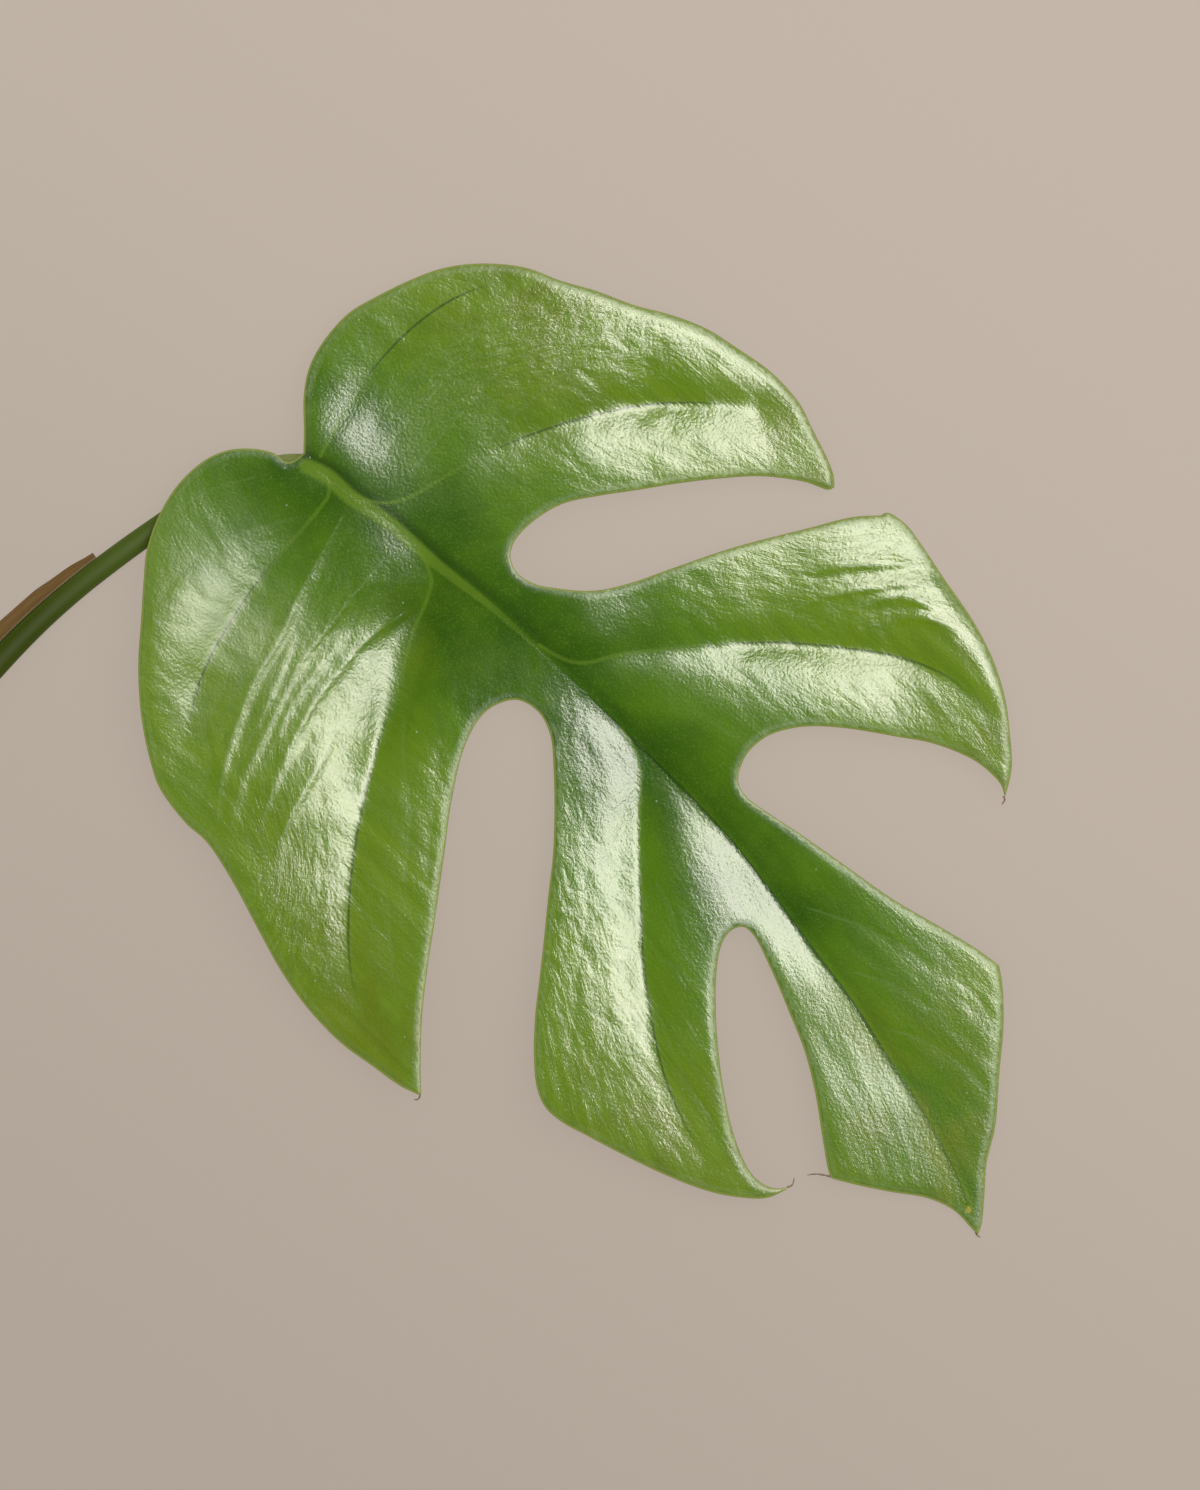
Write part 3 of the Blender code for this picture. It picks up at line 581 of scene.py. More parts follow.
def lower_face(points, fields):
    """Height of the lamina's lower face over the surface, veins' ribs left out."""
    x, y = (points - np.array(DOME_MIDDLE)).T
    droop = np.where(x < 0.0, np.abs(x / SPLIT_SIDE[0]) ** SPLIT_SIDE[1],
                     np.abs(x / BROAD_SIDE[0]) ** BROAD_SIDE[1])
    height = DOME_HEIGHT * (1.0 - (y / DOME_REACH) ** 2) - SIDE_DROP * droop
    for middle, reach, rise in HILLS:
        height += rise * spot(points, middle, reach)
    run, mid = share_along(points, MIDRIB), fields["mid"]
    height -= eased(run, MIDRIB["basin"]) * np.exp(-mid / MIDRIB["basin_reach"])
    fall = eased(run, MIDRIB["broad_fall"])
    away = 1.0 - np.exp(-mid / MIDRIB["fall_reach"])
    height -= np.where(fields["side"] > 0.0, fall * away, 0.0)
    dips = [(MIDRIB, fields["mid"])]
    dips += [(SIDE_VEINS[name], fields["veins"][name][0]) for name in SIDE_VEINS]
    for vein, gap in dips:
        depth = eased(share_along(points, vein), vein["depth"])
        soft_gap = np.hypot(gap, VEIN_ROUNDING) - VEIN_ROUNDING
        height -= depth * np.exp(-soft_gap / vein["reach"])
    height -= MARGIN_ROLL_DEPTH * np.exp(-fields["edge"] / MARGIN_ROLL_WIDTH)
    height += fine_relief(points, fields)
    blended = (height + FLOOR_BLEND) ** 2 / (4.0 * FLOOR_BLEND)
    return np.where(height > FLOOR_BLEND, height,
                    np.where(height < -FLOOR_BLEND, 0.0, blended))


def fine_relief(points, fields):
    """Pleats along the fine veins, faint ribs between them, and a slight unevenness."""
    relief = fields["pleat_rise"]
    relief = relief - FINE_GROOVE_DEPTH * np.exp(-fields["fine"] / FINE_GROOVE_WIDTH)
    wave = np.abs(np.sin(math.pi * FINE_VEINS_PER_RANK * fields["flow"]))
    wave *= 0.5 + 0.5 * rough(points, 9.0, 4.5)
    relief += FINE_RIB_HEIGHT * wave * smooth_step(fields["mid"], 1.0, 7.0)
    relief += UNEVEN_HEIGHT * rough(points, 8.0, 1.5)
    crinkles = CRINKLE_HEIGHT * rough(points, 3.2, 7.5) + creases(points, fields)
    relief += fields["crinkle"] * crinkles
    return relief * smooth_step(fields["edge"], 0.0, 1.5)


def creases(points, fields):
    """A raised net of soft cells, drawn out along the fine veins."""
    across = fields["flow"] * FINE_VEINS_PER_RANK
    heights = []
    for u, v, (x, y) in zip(across, fields["mid"] / NET_LENGTH, points):
        sway = noise.noise(Vector((x / 5.0, y / 5.0, 8.5))) * NET_SWAY
        gaps, _ = noise.voronoi(Vector((u + sway, v + sway, 0.0)))
        heights.append(min(gaps[1] - gaps[0], NET_WALL))
    return NET_HEIGHT * np.array(heights) / NET_WALL


def rib_depth(points, fields):
    """How far the ribs under the veins stand out of the lower face."""
    starts, full = MIDRIB_START
    rise = np.clip((points[:, 1] - starts) / (full - starts), 0.0, 1.0)
    taper = 1.0 - 0.6 * fields["mid_run"]
    depth = MIDRIB_DEPTH * rise * taper * np.exp(-(fields["mid"] / MIDRIB_HALF_WIDTH) ** 2)
    for gap, along in fields["veins"].values():
        rib = SIDE_RIB_DEPTH * rise * (1.0 - 0.7 * along)
        depth = np.maximum(depth, rib * np.exp(-(gap / SIDE_RIB_HALF_WIDTH) ** 2))
    return depth


# Meshes

def even_grid(loop, spacing):
    """Points of an even triangular grid inside the loop and clear of it."""
    rows = spacing * math.sqrt(3.0) / 2.0
    low, high = loop.min(axis=0), loop.max(axis=0)
    grid = []
    for row, y in enumerate(np.arange(low[1], high[1], rows)):
        shift = spacing / 2.0 * (row % 2)
        grid += [(x + shift, y) for x in np.arange(low[0], high[0], spacing)]
    grid = np.array(grid)
    return grid[inside(grid, loop)]


def clear_of(points, others, distance):
    """Which points lie at least a distance from every other point."""
    tree = kdtree.KDTree(len(others))
    for number, (x, y) in enumerate(others):
        tree.insert((x, y, 0.0), number)
    tree.balance()
    return np.array([tree.find((x, y, 0.0))[2] > distance for x, y in points])


def blade_grid(loop, spacing):
    """Triangles over the blade: its margin, lines along the veins, an even grid."""
    kept, links = loop, []
    for vein in (MIDRIB, *SIDE_VEINS.values()):
        guide = smooth_line(vein["points"], spacing)
        clear = inside(guide, loop) & clear_of(guide, kept, spacing * 0.6)
        number = len(kept) + np.cumsum(clear) - 1
        links += [(int(a), int(a) + 1) for a, here, then in zip(number, clear, clear[1:])
                  if here and then]
        kept = np.vstack([kept, guide[clear]])
    grid = even_grid(loop, spacing)
    kept = np.vstack([kept, grid[clear_of(grid, kept, spacing * 0.6)]])
    flat = [Vector(point) for point in kept]
    around = [list(range(len(loop)))]
    spots, _, faces, _, _, _ = delaunay_2d_cdt(flat, links, around, 1, 1e-7)
    return np.array([tuple(place) for place in spots]), faces


def leaf_sheet(spots, faces, bottom, top):
    """A closed sheet with a rounded rim between two heights over the triangles."""
    count = len(spots)
    edges = {(a, b) for face in faces for a, b in zip(face, face[1:] + face[:1])}
    rim = sorted(edge for edge in edges if (edge[1], edge[0]) not in edges)
    ahead = dict(rim)
    behind = {b: a for a, b in rim}
    ring = {}
    middles = []
    for a in ahead:
        run = spots[ahead[a]] - spots[behind[a]]
        out = np.array([run[1], -run[0]]) / max(np.hypot(*run), 1e-9)
        ring[a] = 2 * count + len(middles)
        middles.append((*(spots[a] + out * RIM_BULGE), (bottom[a] + top[a]) / 2.0))
    points = np.vstack([np.column_stack([spots, top]),
                        np.column_stack([spots, bottom]), np.array(middles)])
    shell = [tuple(face) for face in faces]
    shell += [tuple(index + count for index in reversed(face)) for face in faces]
    for a, b in rim:
        shell.append((b, a, ring[a], ring[b]))
        shell.append((ring[b], ring[a], a + count, b + count))
    source = np.concatenate([np.arange(count), np.arange(count), list(ring)])
    upper = np.concatenate([np.ones(count), np.zeros(count), np.full(len(ring), 0.5)])
    return points, shell, source.astype(int), upper


def swept(rings):
    """Points and faces of a body through rings of points, closed at both ends."""
    sides = len(rings[0])
    points = [point for ring in rings for point in ring]
    faces = []
    for row in range(len(rings) - 1):
        for a in range(sides):
            b = (a + 1) % sides
            corner, across = row * sides + a, row * sides + b
            faces.append((corner, across, across + sides, corner + sides))
    faces.append(tuple(reversed(range(sides))))
    last = (len(rings) - 1) * sides
    faces.append(tuple(range(last, last + sides)))
    return np.array(points), faces


def petiole_line():
    """The stalk's middle line as x, y, height and radius at even steps."""
    laid = [(x, y, radius * FLAT_SHARE if height is None else height, radius)
            for x, y, height, radius in PETIOLE]
    return smooth_line(laid, STALK_STEP)


def side_ways(line):
    """Level unit vectors that point to the -Y side of a line, and its run."""
    run = np.gradient(line[:, :3], axis=0)
    run /= np.linalg.norm(run, axis=1)[:, None]
    level = np.column_stack([run[:, 1], -run[:, 0], np.zeros(len(run))])
    return level / np.linalg.norm(level, axis=1)[:, None], run


# The frame's place: the leaf frame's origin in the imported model

def leaf_origin():
    """Where the leaf frame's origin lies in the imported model, in millimetres."""
    loop = margin_loop(SOLID_SPACING)
    low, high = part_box("leaf_blade")
    middle = (loop.min(axis=0) + loop.max(axis=0)) / 2.0
    return np.array([(low.x + high.x) / 2.0 / MM - middle[0],
                     (low.y + high.y) / 2.0 / MM - middle[1], 0.0])


ORIGIN = leaf_origin()


def piece(name, points, faces, material, node=None):
    """A mesh piece of the leaf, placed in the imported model's frame."""
    mesh = bpy.data.meshes.new(name)
    mesh.from_pydata(((points + ORIGIN) * MM).tolist(), [], faces)
    mesh.materials.append(material)
    mesh.shade_smooth()
    made = bpy.data.objects.new(name, mesh)
    bpy.context.scene.collection.objects.link(made)
    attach(made, "root")
    if node:
        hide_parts(node)
    return made


def attribute(made, name, values):
    """Store one number for each point of a piece, for its material to read."""
    made.data.attributes.new(name, "FLOAT", "POINT")
    made.data.attributes[name].data.foreach_set("value", values.astype(np.float32))


# Materials

class Graph:
    """A material's node tree, with short calls that add and join its nodes."""

    def __init__(self, name):
        self.material = bpy.data.materials.new(name)
        self.material.use_nodes = True
        self.tree = self.material.node_tree
        self.shader = self.tree.nodes["Principled BSDF"]

    def node(self, kind, **inputs):
        """A node of one kind, with sockets set to numbers or joined to others."""
        made = self.tree.nodes.new(kind)
        for name, value in inputs.items():
            self.join(value, made.inputs[name.replace("_", " ")])
        return made

    def join(self, value, socket):
        """Set a socket to a number or colour, or join it to another socket."""
        if isinstance(value, bpy.types.NodeSocket):
            self.tree.links.new(value, socket)
        else:
            socket.default_value = value

    def math(self, operation, first, second):
        """One arithmetic step on two numbers or sockets."""
        made = self.tree.nodes.new("ShaderNodeMath")
        made.operation = operation
        self.join(first, made.inputs[0])
        self.join(second, made.inputs[1])
        return made.outputs[0]

    def times(self, first, second):
        """The product of two numbers or sockets."""
        return self.math("MULTIPLY", first, second)

    def plus(self, first, second):
        """The sum of two numbers or sockets."""
        return self.math("ADD", first, second)

    def field(self, name):
        """The number stored on the mesh under a name."""
        made = self.tree.nodes.new("ShaderNodeAttribute")
        made.attribute_name = name
        return made.outputs["Fac"]

    def ramp(self, value, low, high, first=0.0, last=1.0):
        """A smooth ramp from first to last while value goes from low to high."""
        made = self.tree.nodes.new("ShaderNodeMapRange")
        made.interpolation_type = "SMOOTHSTEP"
        for name, number in (("Value", value), ("From Min", low), ("From Max", high),
                             ("To Min", first), ("To Max", last)):
            self.join(number, made.inputs[name])
        return made.outputs["Result"]

    def mix(self, share, first, second):
        """A colour between two colours."""
        made = self.tree.nodes.new("ShaderNodeMix")
        made.data_type = "RGBA"
        self.join(share, made.inputs["Factor"])
        for value, name in ((first, "A"), (second, "B")):
            socket = [s for s in made.inputs if s.name == name and s.type == "RGBA"][0]
            self.join(value, socket)
        return [s for s in made.outputs if s.type == "RGBA"][0]

    def place(self, scale=(1.0, 1.0, 1.0)):
        """Object coordinates in millimetres, stretched by scale."""
        source = self.tree.nodes.new("ShaderNodeTexCoord").outputs["Object"]
        made = self.tree.nodes.new("ShaderNodeMapping")
        self.join(source, made.inputs["Vector"])
        made.inputs["Scale"].default_value = tuple(value / MM for value in scale)
        return made.outputs["Vector"]

    def vein_place(self):
        """A place on the blade, in millimetres across and along the fine veins."""
        made = self.tree.nodes.new("ShaderNodeCombineXYZ")
        self.join(self.times(self.field("flow"), FLOW_WIDTH), made.inputs["X"])
        self.join(self.times(self.field("mid_mm"), FLOW_STRETCH), made.inputs["Y"])
        return made.outputs[0]

    def noise(self, vector, size, detail=2.0, roughness=0.5, distortion=0.0):
        """Soft noise between 0 and 1 with features of a size."""
        made = self.node("ShaderNodeTexNoise", Vector=vector, Scale=1.0 / size,
                         Detail=detail, Roughness=roughness, Distortion=distortion)
        return made.outputs[0]

    def bump(self, height, strength, distance, normal=None):
        """A bump of a height field, its distance in millimetres."""
        made = self.node("ShaderNodeBump", Height=height, Strength=strength,
                         Distance=distance * MM)
        if normal:
            self.join(normal, made.inputs["Normal"])
        return made.outputs["Normal"]


# Beside the midrib DEEP_GREEN stands partly for the leaf's own colour and partly for painted
# shade
DEEP_GREEN = (0.042, 0.135, 0.001, 1.0)
LEAF_GREEN = (0.124, 0.272, 0.002, 1.0)
OUTER_GREEN = (0.2, 0.345, 0.007, 1.0)
YELLOW_GREEN = (0.2, 0.28, 0.006, 1.0)
SCAR_YELLOW = (0.5, 0.45, 0.05, 1.0)
VEIN_GREEN = (0.2, 0.35, 0.02, 1.0)
# Painted shade: the dark band beside the midrib and the thin lines in the veins' creases
PAINTED_SHADE = (0.025, 0.075, 0.002, 1.0)
PALE_LINE = (0.26, 0.38, 0.12, 1.0)
# Painted highlight along the margin
PAINTED_RIM_HIGHLIGHT = (0.34, 0.42, 0.06, 1.0)
UNDER_GREEN = (0.16, 0.27, 0.07, 1.0)
CELL_GREEN = (0.24, 0.4, 0.05, 1.0)
DUST = (0.75, 0.76, 0.7, 1.0)
STALK_DEEP = (0.04, 0.065, 0.002, 1.0)
STALK_GREEN = (0.075, 0.11, 0.002, 1.0)
STALK_FRESH = (0.11, 0.17, 0.02, 1.0)
KNEE_GREEN = (0.3, 0.36, 0.11, 1.0)
SHEATH_DEEP = (0.14, 0.07, 0.012, 1.0)
SHEATH_BROWN = (0.32, 0.185, 0.055, 1.0)
THREAD_DEEP = (0.12, 0.055, 0.025, 1.0)
THREAD_BROWN = (0.4, 0.27, 0.15, 1.0)


def leaf_material():
    """The blade's finish: glossy mottled green above, paler and duller below, with a painted
    highlight along the rim.
    """
    g = Graph("leaf_green")
    upper = g.field("upper")
    colour = leaf_colour(g)
    colour = leaf_marks(g, colour)
    colour = g.mix(upper, UNDER_GREEN, colour)
    # Painted highlight: a thin pale line along the margin, where light catches and shines
    # through the thin edge
    rim = g.ramp(g.field("edge_mm"), 0.08, 0.32, 0.9, 0.0)
    g.join(g.mix(rim, colour, PAINTED_RIM_HIGHLIGHT), g.shader.inputs["Base Color"])

    along = g.vein_place()
    crinkle = g.field("crinkle")
    crepe = g.noise(along, CREPE[0], 4.0, 0.62, 1.0)
    crumple = g.noise(g.place(), CRUMPLE[0], 3.0, 0.55, 0.5)
    normal = g.bump(g.times(crepe, crinkle), 1.0, CREPE[1])
    normal = g.bump(g.times(crumple, crinkle), 1.0, CRUMPLE[1], normal)
    normal = g.bump(g.noise(g.place(), GRAIN[0], 1.0), 1.0, GRAIN[1], normal)
    g.join(normal, g.shader.inputs["Normal"])

    spread = g.times(g.noise(g.place(), 5.0), GLOSSY_SPREAD)
    gloss = g.plus(spread, GLOSSY)
    lower = g.math("SUBTRACT", 1.0, upper)
    gloss = g.plus(gloss, g.times(lower, LOWER_DULLER))
    gloss = g.plus(gloss, g.ramp(g.field("edge_mm"), 0.2, 1.5, RIM_DULLER, 0.0))
    gloss = g.plus(gloss, g.field("dull"))
    g.join(gloss, g.shader.inputs["Roughness"])
    g.shader.inputs["Specular IOR Level"].default_value = 0.5
    return g.material


def leaf_colour(g):
    """The green: deep beside the midrib, partly its own colour and partly painted shade,
    lighter outwards, yellower at the tips.
    """
    place = g.place()
    # Deeper beside the midrib: partly the leaf's own colour, partly painted shade
    outward = g.ramp(g.field("mid_mm"), 1.0, 42.0)
    shade = g.plus(outward, g.times(g.noise(place, 14.0, 3.0), 0.9))
    shade = g.plus(shade, g.ramp(g.field("mid_run"), 0.6, 0.85, 0.0, 0.35))
    colour = g.mix(g.ramp(shade, 0.3, 0.75), DEEP_GREEN, LEAF_GREEN)
    colour = g.mix(g.ramp(shade, 0.7, 1.4), colour, OUTER_GREEN)
    patches = g.ramp(g.noise(place, 12.0, 4.0, 0.6, 1.0), 0.35, 0.7)
    yellow = g.times(g.field("yellow"), patches)
    colour = g.mix(yellow, colour, YELLOW_GREEN)
    cells = g.ramp(g.noise(place, 0.32, 2.0), 0.5, 0.72)
    colour = g.mix(g.times(cells, 0.3), colour, CELL_GREEN)
    mottled = g.ramp(g.noise(g.vein_place(), 1.8, 3.0, 0.6), 0.35, 0.65)
    return g.mix(g.times(mottled, 0.22), colour, DEEP_GREEN)


def leaf_marks(g, colour):
    """Veins with painted shade in their creases, a painted shade band beside the midrib, the
    yellow spot near the apex, and dust.
    """
    place = g.place()
    fine = g.ramp(g.field("fine_mm"), 0.05, 0.35, 1.0, 0.0)
    colour = g.mix(g.times(fine, 0.22), colour, PALE_LINE)
    pleat = g.ramp(g.field("pleat_mm"), 0.05, 0.3, 1.0, 0.0)
    colour = g.mix(g.times(pleat, 0.45), colour, PALE_LINE)

    run = g.field("mid_run")
    width = g.ramp(run, 0.02, 0.34, 1.6, 0.35)
    # Painted shade: a dark band along the midrib's split side, where the face tilts away from
    # the light
    off = g.field("mid_side_mm")
    shade_band = g.times(g.ramp(off, -3.2, -1.3, 0.0, 1.0), g.ramp(off, -1.3, -0.4, 1.0, 0.0))
    shade_band = g.times(shade_band, g.ramp(run, 0.04, 0.4, 0.8, 0.2))
    colour = g.mix(shade_band, colour, PAINTED_SHADE)
    middle = g.ramp(g.math("DIVIDE", g.field("mid_mm"), width), 0.45, 1.0, 1.0, 0.0)
    pale = g.ramp(run, 0.1, 0.4, 0.7, 0.0)
    colour = g.mix(g.times(middle, pale), colour, VEIN_GREEN)
    # Painted shade in the midrib's crease: a thin dark line from a quarter of the way out,
    # fainter near the apex
    crease_shade = g.times(g.ramp(run, 0.25, 0.45, 0.0, 0.75), g.ramp(run, 0.75, 0.95, 1.0, 0.45))
    colour = g.mix(g.times(middle, crease_shade), colour, PAINTED_SHADE)

    vein, vein_run = g.field("vein_mm"), g.field("vein_run")
    lateral = g.ramp(vein, 0.12, 0.45, 1.0, 0.0)
    pale = g.ramp(vein_run, 0.1, 0.5, 0.45, 0.1)
    colour = g.mix(g.times(lateral, pale), colour, VEIN_GREEN)
    # Painted shade in the side veins' creases: a thin dark line that fades out towards their
    # ends
    crease_shade = g.times(g.ramp(vein, 0.08, 0.28, 1.0, 0.0), g.ramp(vein_run, 0.25, 0.5, 0.0, 0.7))
    crease_shade = g.times(crease_shade, g.ramp(vein_run, 0.8, 1.0, 1.0, 0.0))
    colour = g.mix(crease_shade, colour, PAINTED_SHADE)

    colour = g.mix(g.ramp(g.field("scar"), 0.3, 0.6), colour, SCAR_YELLOW)
    specks = g.node("ShaderNodeTexVoronoi", Vector=place, Scale=1.0 / 4.0)
    dust = g.ramp(specks.outputs["Distance"], 0.022, 0.04, 1.0, 0.0)
    return g.mix(g.times(dust, 0.6), colour, DUST)


def stalk_material():
    """Stalk: green with fine lengthwise streaks, lighter near the blade, pale knee."""
    g = Graph("stalk_green")
    streaks = g.node("ShaderNodeCombineXYZ", X=g.times(g.field("turn"), 9.0),
                     Y=g.times(g.field("run_mm"), 0.05), Z=0.0).outputs[0]
    colour = g.mix(g.noise(streaks, 1.0, 3.0), STALK_DEEP, STALK_GREEN)
    fresh = g.ramp(g.field("run_mm"), 24.0, 52.0, 0.8, 0.0)
    colour = g.mix(fresh, colour, STALK_FRESH)
    knee = g.ramp(g.field("run_mm"), 4.0, 11.0, 1.0, 0.0)
    colour = g.mix(knee, colour, KNEE_GREEN)
    g.join(colour, g.shader.inputs["Base Color"])
    g.join(g.bump(g.noise(streaks, 0.5), 0.25, 0.1), g.shader.inputs["Normal"])
    g.shader.inputs["Roughness"].default_value = 0.45
    g.shader.inputs["Specular IOR Level"].default_value = 0.12
    return g.material


def sheath_material():
    """Dry brown film with lengthwise fibres."""
    g = Graph("dry_sheath")
    fibres = g.noise(g.place((0.12, 1.6, 1.6)), 0.8, 4.0, 0.6)
    g.join(g.mix(fibres, SHEATH_DEEP, SHEATH_BROWN), g.shader.inputs["Base Color"])
    g.join(g.bump(fibres, 0.5, 0.25), g.shader.inputs["Normal"])
    g.shader.inputs["Roughness"].default_value = 0.75
    g.shader.inputs["Specular IOR Level"].default_value = 0.15
    return g.material


def thread_material():
    """Dried brown tip threads."""
    g = Graph("dried_tip")
    colour = g.mix(g.noise(g.place(), 0.5), THREAD_DEEP, THREAD_BROWN)
    g.join(colour, g.shader.inputs["Base Color"])
    g.shader.inputs["Roughness"].default_value = 0.7
    return g.material


# Pieces

def build_blade():
    """The blade, its fields stored for the material."""
    loop = margin_loop(BLADE_SPACING)
    spots, faces = blade_grid(loop, BLADE_SPACING)
    fields = blade_fields(spots, loop)
    lamina = lower_face(spots, fields) + LIFT
    bottom = np.maximum(lamina - rib_depth(spots, fields), LEAST_HEIGHT)
    top = lamina + LAMINA_THICKNESS
    points, shell, source, upper = leaf_sheet(spots, faces, bottom, top)
    made = piece("blade", points, shell, leaf_material(), "leaf_blade")
    gaps, runs = np.array([fields["veins"][name] for name in SIDE_VEINS]).swapaxes(0, 1)
    nearest = gaps.argmin(axis=0), np.arange(len(spots))
    stored = {name: fields[name]
              for name in ("mid_run", "flow", "crinkle", "yellow", "scar", "dull")}
    stored.update({name + "_mm": fields[name]
                   for name in ("edge", "mid", "fine", "pleat")})
    # Signed distance to the midrib, which places the painted shade band on its split side
    stored["mid_side_mm"] = fields["mid"] * fields["side"]
    stored["vein_mm"], stored["vein_run"] = gaps[nearest], runs[nearest]
    for name, values in stored.items():
        attribute(made, name, values[source])
    attribute(made, "upper", upper)
    return made


def build_stalk():
    """The stalk as a fine tube with its swollen knee."""
    line = petiole_line()
    level, run = side_ways(line)
    rings, turns, runs = [], [], []
    for number, ((x, y, height, radius), out, ahead) in enumerate(zip(line, level, run)):
        above = np.cross(out, ahead)
        above *= math.copysign(1.0, above[2])
        ring = []
        for side in range(STALK_SIDES):
            turn = 2.0 * math.pi * (side + 0.5) / STALK_SIDES
            point = np.array([x, y, height])
            point += radius * (math.cos(turn) * above + math.sin(turn) * out)
            point[2] = max(point[2], 0.0)
            ring.append(point)
            turns.append(math.sin(turn))
            runs.append(number * STALK_STEP)
        rings.append(ring)
    points, faces = swept(rings)
    made = piece("stalk", points, faces, stalk_material(), "petiole")
    attribute(made, "turn", np.array(turns))
    attribute(made, "run_mm", np.array(runs))
    return made


def build_sheath():
    """The dry strip beside the stalk."""
    line = petiole_line()
    stations = np.arange(SHEATH_SPAN[0], SHEATH_SPAN[1] + 0.1, SHEATH_STEP)
    at = np.column_stack([np.interp(stations, line[:, 0], column) for column in line.T])
    level, _ = side_ways(at)
    reach = np.interp(stations, *np.array(SHEATH_REACH).T)
    reach += SHEATH_UNEVEN * rough(np.column_stack([stations, stations * 0.0]), 3.0, 3.3)
    rings = []
    for (x, y, height, radius), out, wide in zip(at, level, reach):
        hug = radius + SHEATH_GAP + SHEATH_HALF_THICKNESS
        bends = [(hug * math.cos(turn), hug * math.sin(turn))
                 for turn in np.radians((20.0, 10.0, 0.0, -10.0))]
        bends += [(radius + wide * share, -height * share * 0.85 + 0.1)
                  for share in (0.45, 0.7, 0.88, 1.0)]
        bends = np.array(bends)
        across = np.gradient(bends, axis=0)
        across /= np.linalg.norm(across, axis=1)[:, None]
        normal = np.column_stack([-across[:, 1], across[:, 0]]) * SHEATH_HALF_THICKNESS
        section = np.vstack([bends + normal, (bends - normal)[::-1]])
        rings.append([np.array([x, y, max(height + v, 0.03)]) + out * u
                      for u, v in section])
    points, faces = swept(rings)
    return piece("dry_strip", points, faces, sheath_material(), "petiole_sheath")


def build_threads():
    """The dried threads at the tips of the lobes."""
    points, faces = np.zeros((0, 3)), []
    loop = margin_loop(BLADE_SPACING)
    for places in THREADS:
        line = smooth_line(places, THREAD_STEP)
        root = line[:1]
        height = lower_face(root, blade_fields(root, loop))[0] + LIFT + LAMINA_THICKNESS / 2.0
        rings = []
        run = np.gradient(line, axis=0)
        for share, (x, y), (dx, dy) in zip(np.linspace(0.0, 1.0, len(line)), line, run):
            out = np.array([-dy, dx]) / math.hypot(dx, dy)
            wide = THREAD_RADIUS * (1.0 - THREAD_TAPER * share)
            wide *= 1.0 + 0.2 * math.sin(19.0 * share)
            level = max(height - THREAD_DROOP * share ** 2, THREAD_RADIUS)
            rings.append([np.array([x + out[0] * wide * math.cos(turn),
                                    y + out[1] * wide * math.cos(turn),
                                    level + wide * math.sin(turn)])
                          for turn in np.arange(THREAD_SIDES) * 2.0 * math.pi / THREAD_SIDES])
        tube, shell = swept(rings)
        faces += [tuple(index + len(points) for index in face) for face in shell]
        points = np.vstack([points, tube])
    return piece("dried_tips", points, faces, thread_material())


# Stage

def build_floor():
    """A pale glowing floor that runs far past the picture, painted brighter towards the
    lights.
    """
    mesh = bpy.data.meshes.new("floor")
    corners = ((-1.0, -1.0), (1.0, -1.0), (1.0, 1.0), (-1.0, 1.0))
    mesh.from_pydata([(x * FLOOR_REACH, y * FLOOR_REACH, 0.0) for x, y in corners],
                     [], [(0, 1, 2, 3)])
    g = Graph("floor_paint")
    place = g.node("ShaderNodeSeparateXYZ", Vector=g.place())
    # Painted light: the floor's tone rises towards the side where the lights stand
    lit = g.plus(g.times(place.outputs["X"], FLOOR_TONE_WAY[0]),
                 g.times(place.outputs["Y"], FLOOR_TONE_WAY[1]))
    glow = g.mix(g.ramp(lit, -FLOOR_TONE_REACH, FLOOR_TONE_REACH), FLOOR_SHADY, FLOOR_SUNNY)
    g.join(glow, g.shader.inputs["Base Color"])
    g.join(glow, g.shader.inputs["Emission Color"])
    g.shader.inputs["Emission Strength"].default_value = FLOOR_GLOW
    g.shader.inputs["Roughness"].default_value = 1.0
    g.shader.inputs["Specular IOR Level"].default_value = 0.0
    mesh.materials.append(g.material)
    floor = bpy.data.objects.new("floor", mesh)
    bpy.context.scene.collection.objects.link(floor)


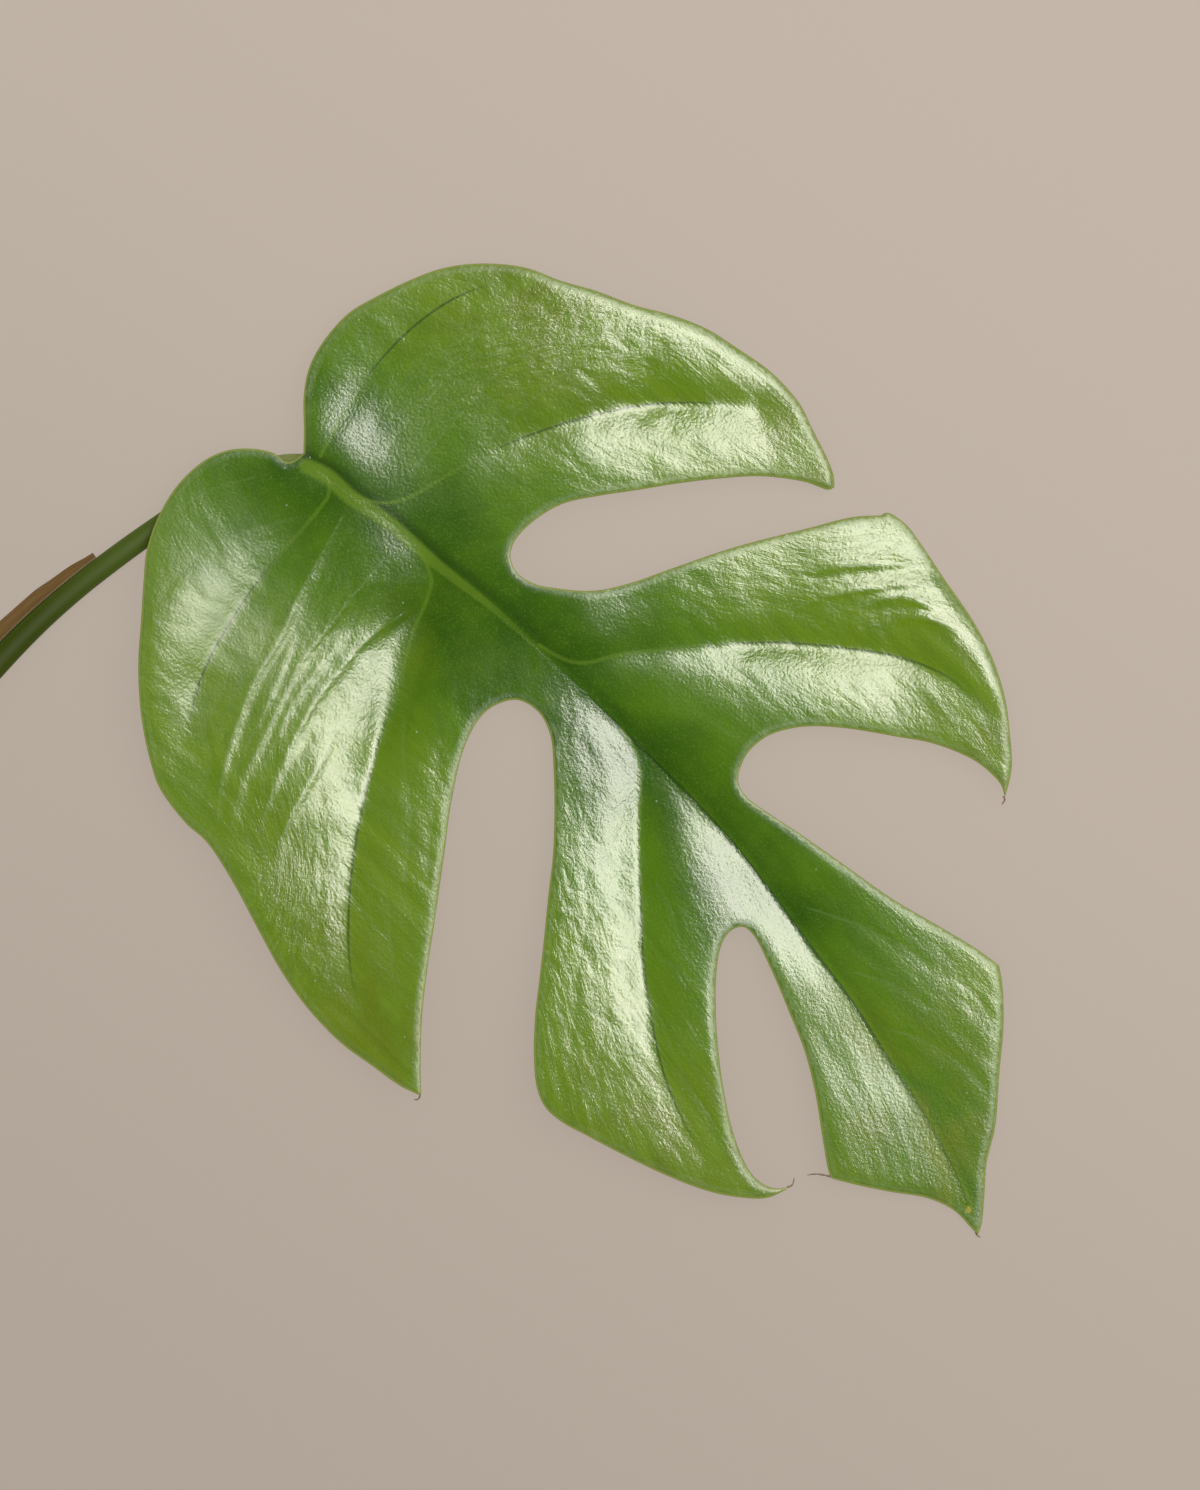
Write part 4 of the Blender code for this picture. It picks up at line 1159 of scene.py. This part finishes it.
def area_light(name, place, aim, size, power):
    """A soft rectangular light that points at the leaf."""
    light = bpy.data.lights.new(name, "AREA")
    light.shape = "RECTANGLE"
    light.size, light.size_y = size
    light.energy = power
    made = bpy.data.objects.new(name, light)
    bpy.context.scene.collection.objects.link(made)
    made.location = place
    made.rotation_euler = (Vector(aim) - Vector(place)).to_track_quat("-Z", "Y").to_euler()
    return made


def build_light():
    """Soft lights from the split side, two of them seen in the gloss, in an even surround."""
    aim = (ORIGIN + np.array(LIGHT_AIM)) * MM
    flat, up = math.cos(math.radians(LIGHT_HEIGHT)), math.sin(math.radians(LIGHT_HEIGHT))
    way = np.array([LIGHT_WAY[0] * flat, LIGHT_WAY[1] * flat, up])
    place = tuple(aim + way * LIGHT_DISTANCE)
    for name, size, power in (("gloss", GLOSS_SIZE, GLOSS_POWER),
                              ("glow", GLOW_SIZE, GLOW_POWER)):
        gloss = area_light(name, place, tuple(aim), size, power)
        gloss.data.color = GLOSS_TINT
        gloss.visible_diffuse = False
    soft = area_light("soft", place, tuple(aim), SOFT_SIZE, SOFT_POWER)
    soft.visible_glossy = False
    world = bpy.data.worlds.new("surround")
    world.use_nodes = True
    surround = world.node_tree.nodes["Background"]
    surround.inputs["Color"].default_value = (1.0, 1.0, 1.0, 1.0)
    surround.inputs["Strength"].default_value = SURROUND
    world.cycles_visibility.glossy = False
    bpy.context.scene.world = world


def build_camera():
    """The camera straight above, turned as in the photograph."""
    data = bpy.data.cameras.new("camera")
    data.lens = CAMERA_LENS
    data.sensor_width = CAMERA_SENSOR
    camera = bpy.data.objects.new("camera", data)
    bpy.context.scene.collection.objects.link(camera)
    right, up = Vector(IMAGE_RIGHT), Vector(IMAGE_UP)
    turn = Matrix((right, up, right.cross(up))).transposed().to_4x4()
    place = Vector((ORIGIN + np.array(CAMERA_AIM)) * MM) + Vector((0, 0, CAMERA_DISTANCE * MM))
    camera.matrix_world = Matrix.Translation(place) @ turn
    bpy.context.scene.camera = camera


build_camera()
build_blade()
build_stalk()
build_sheath()
build_threads()
build_floor()
build_light()
bpy.context.scene.view_settings.view_transform = "Standard"
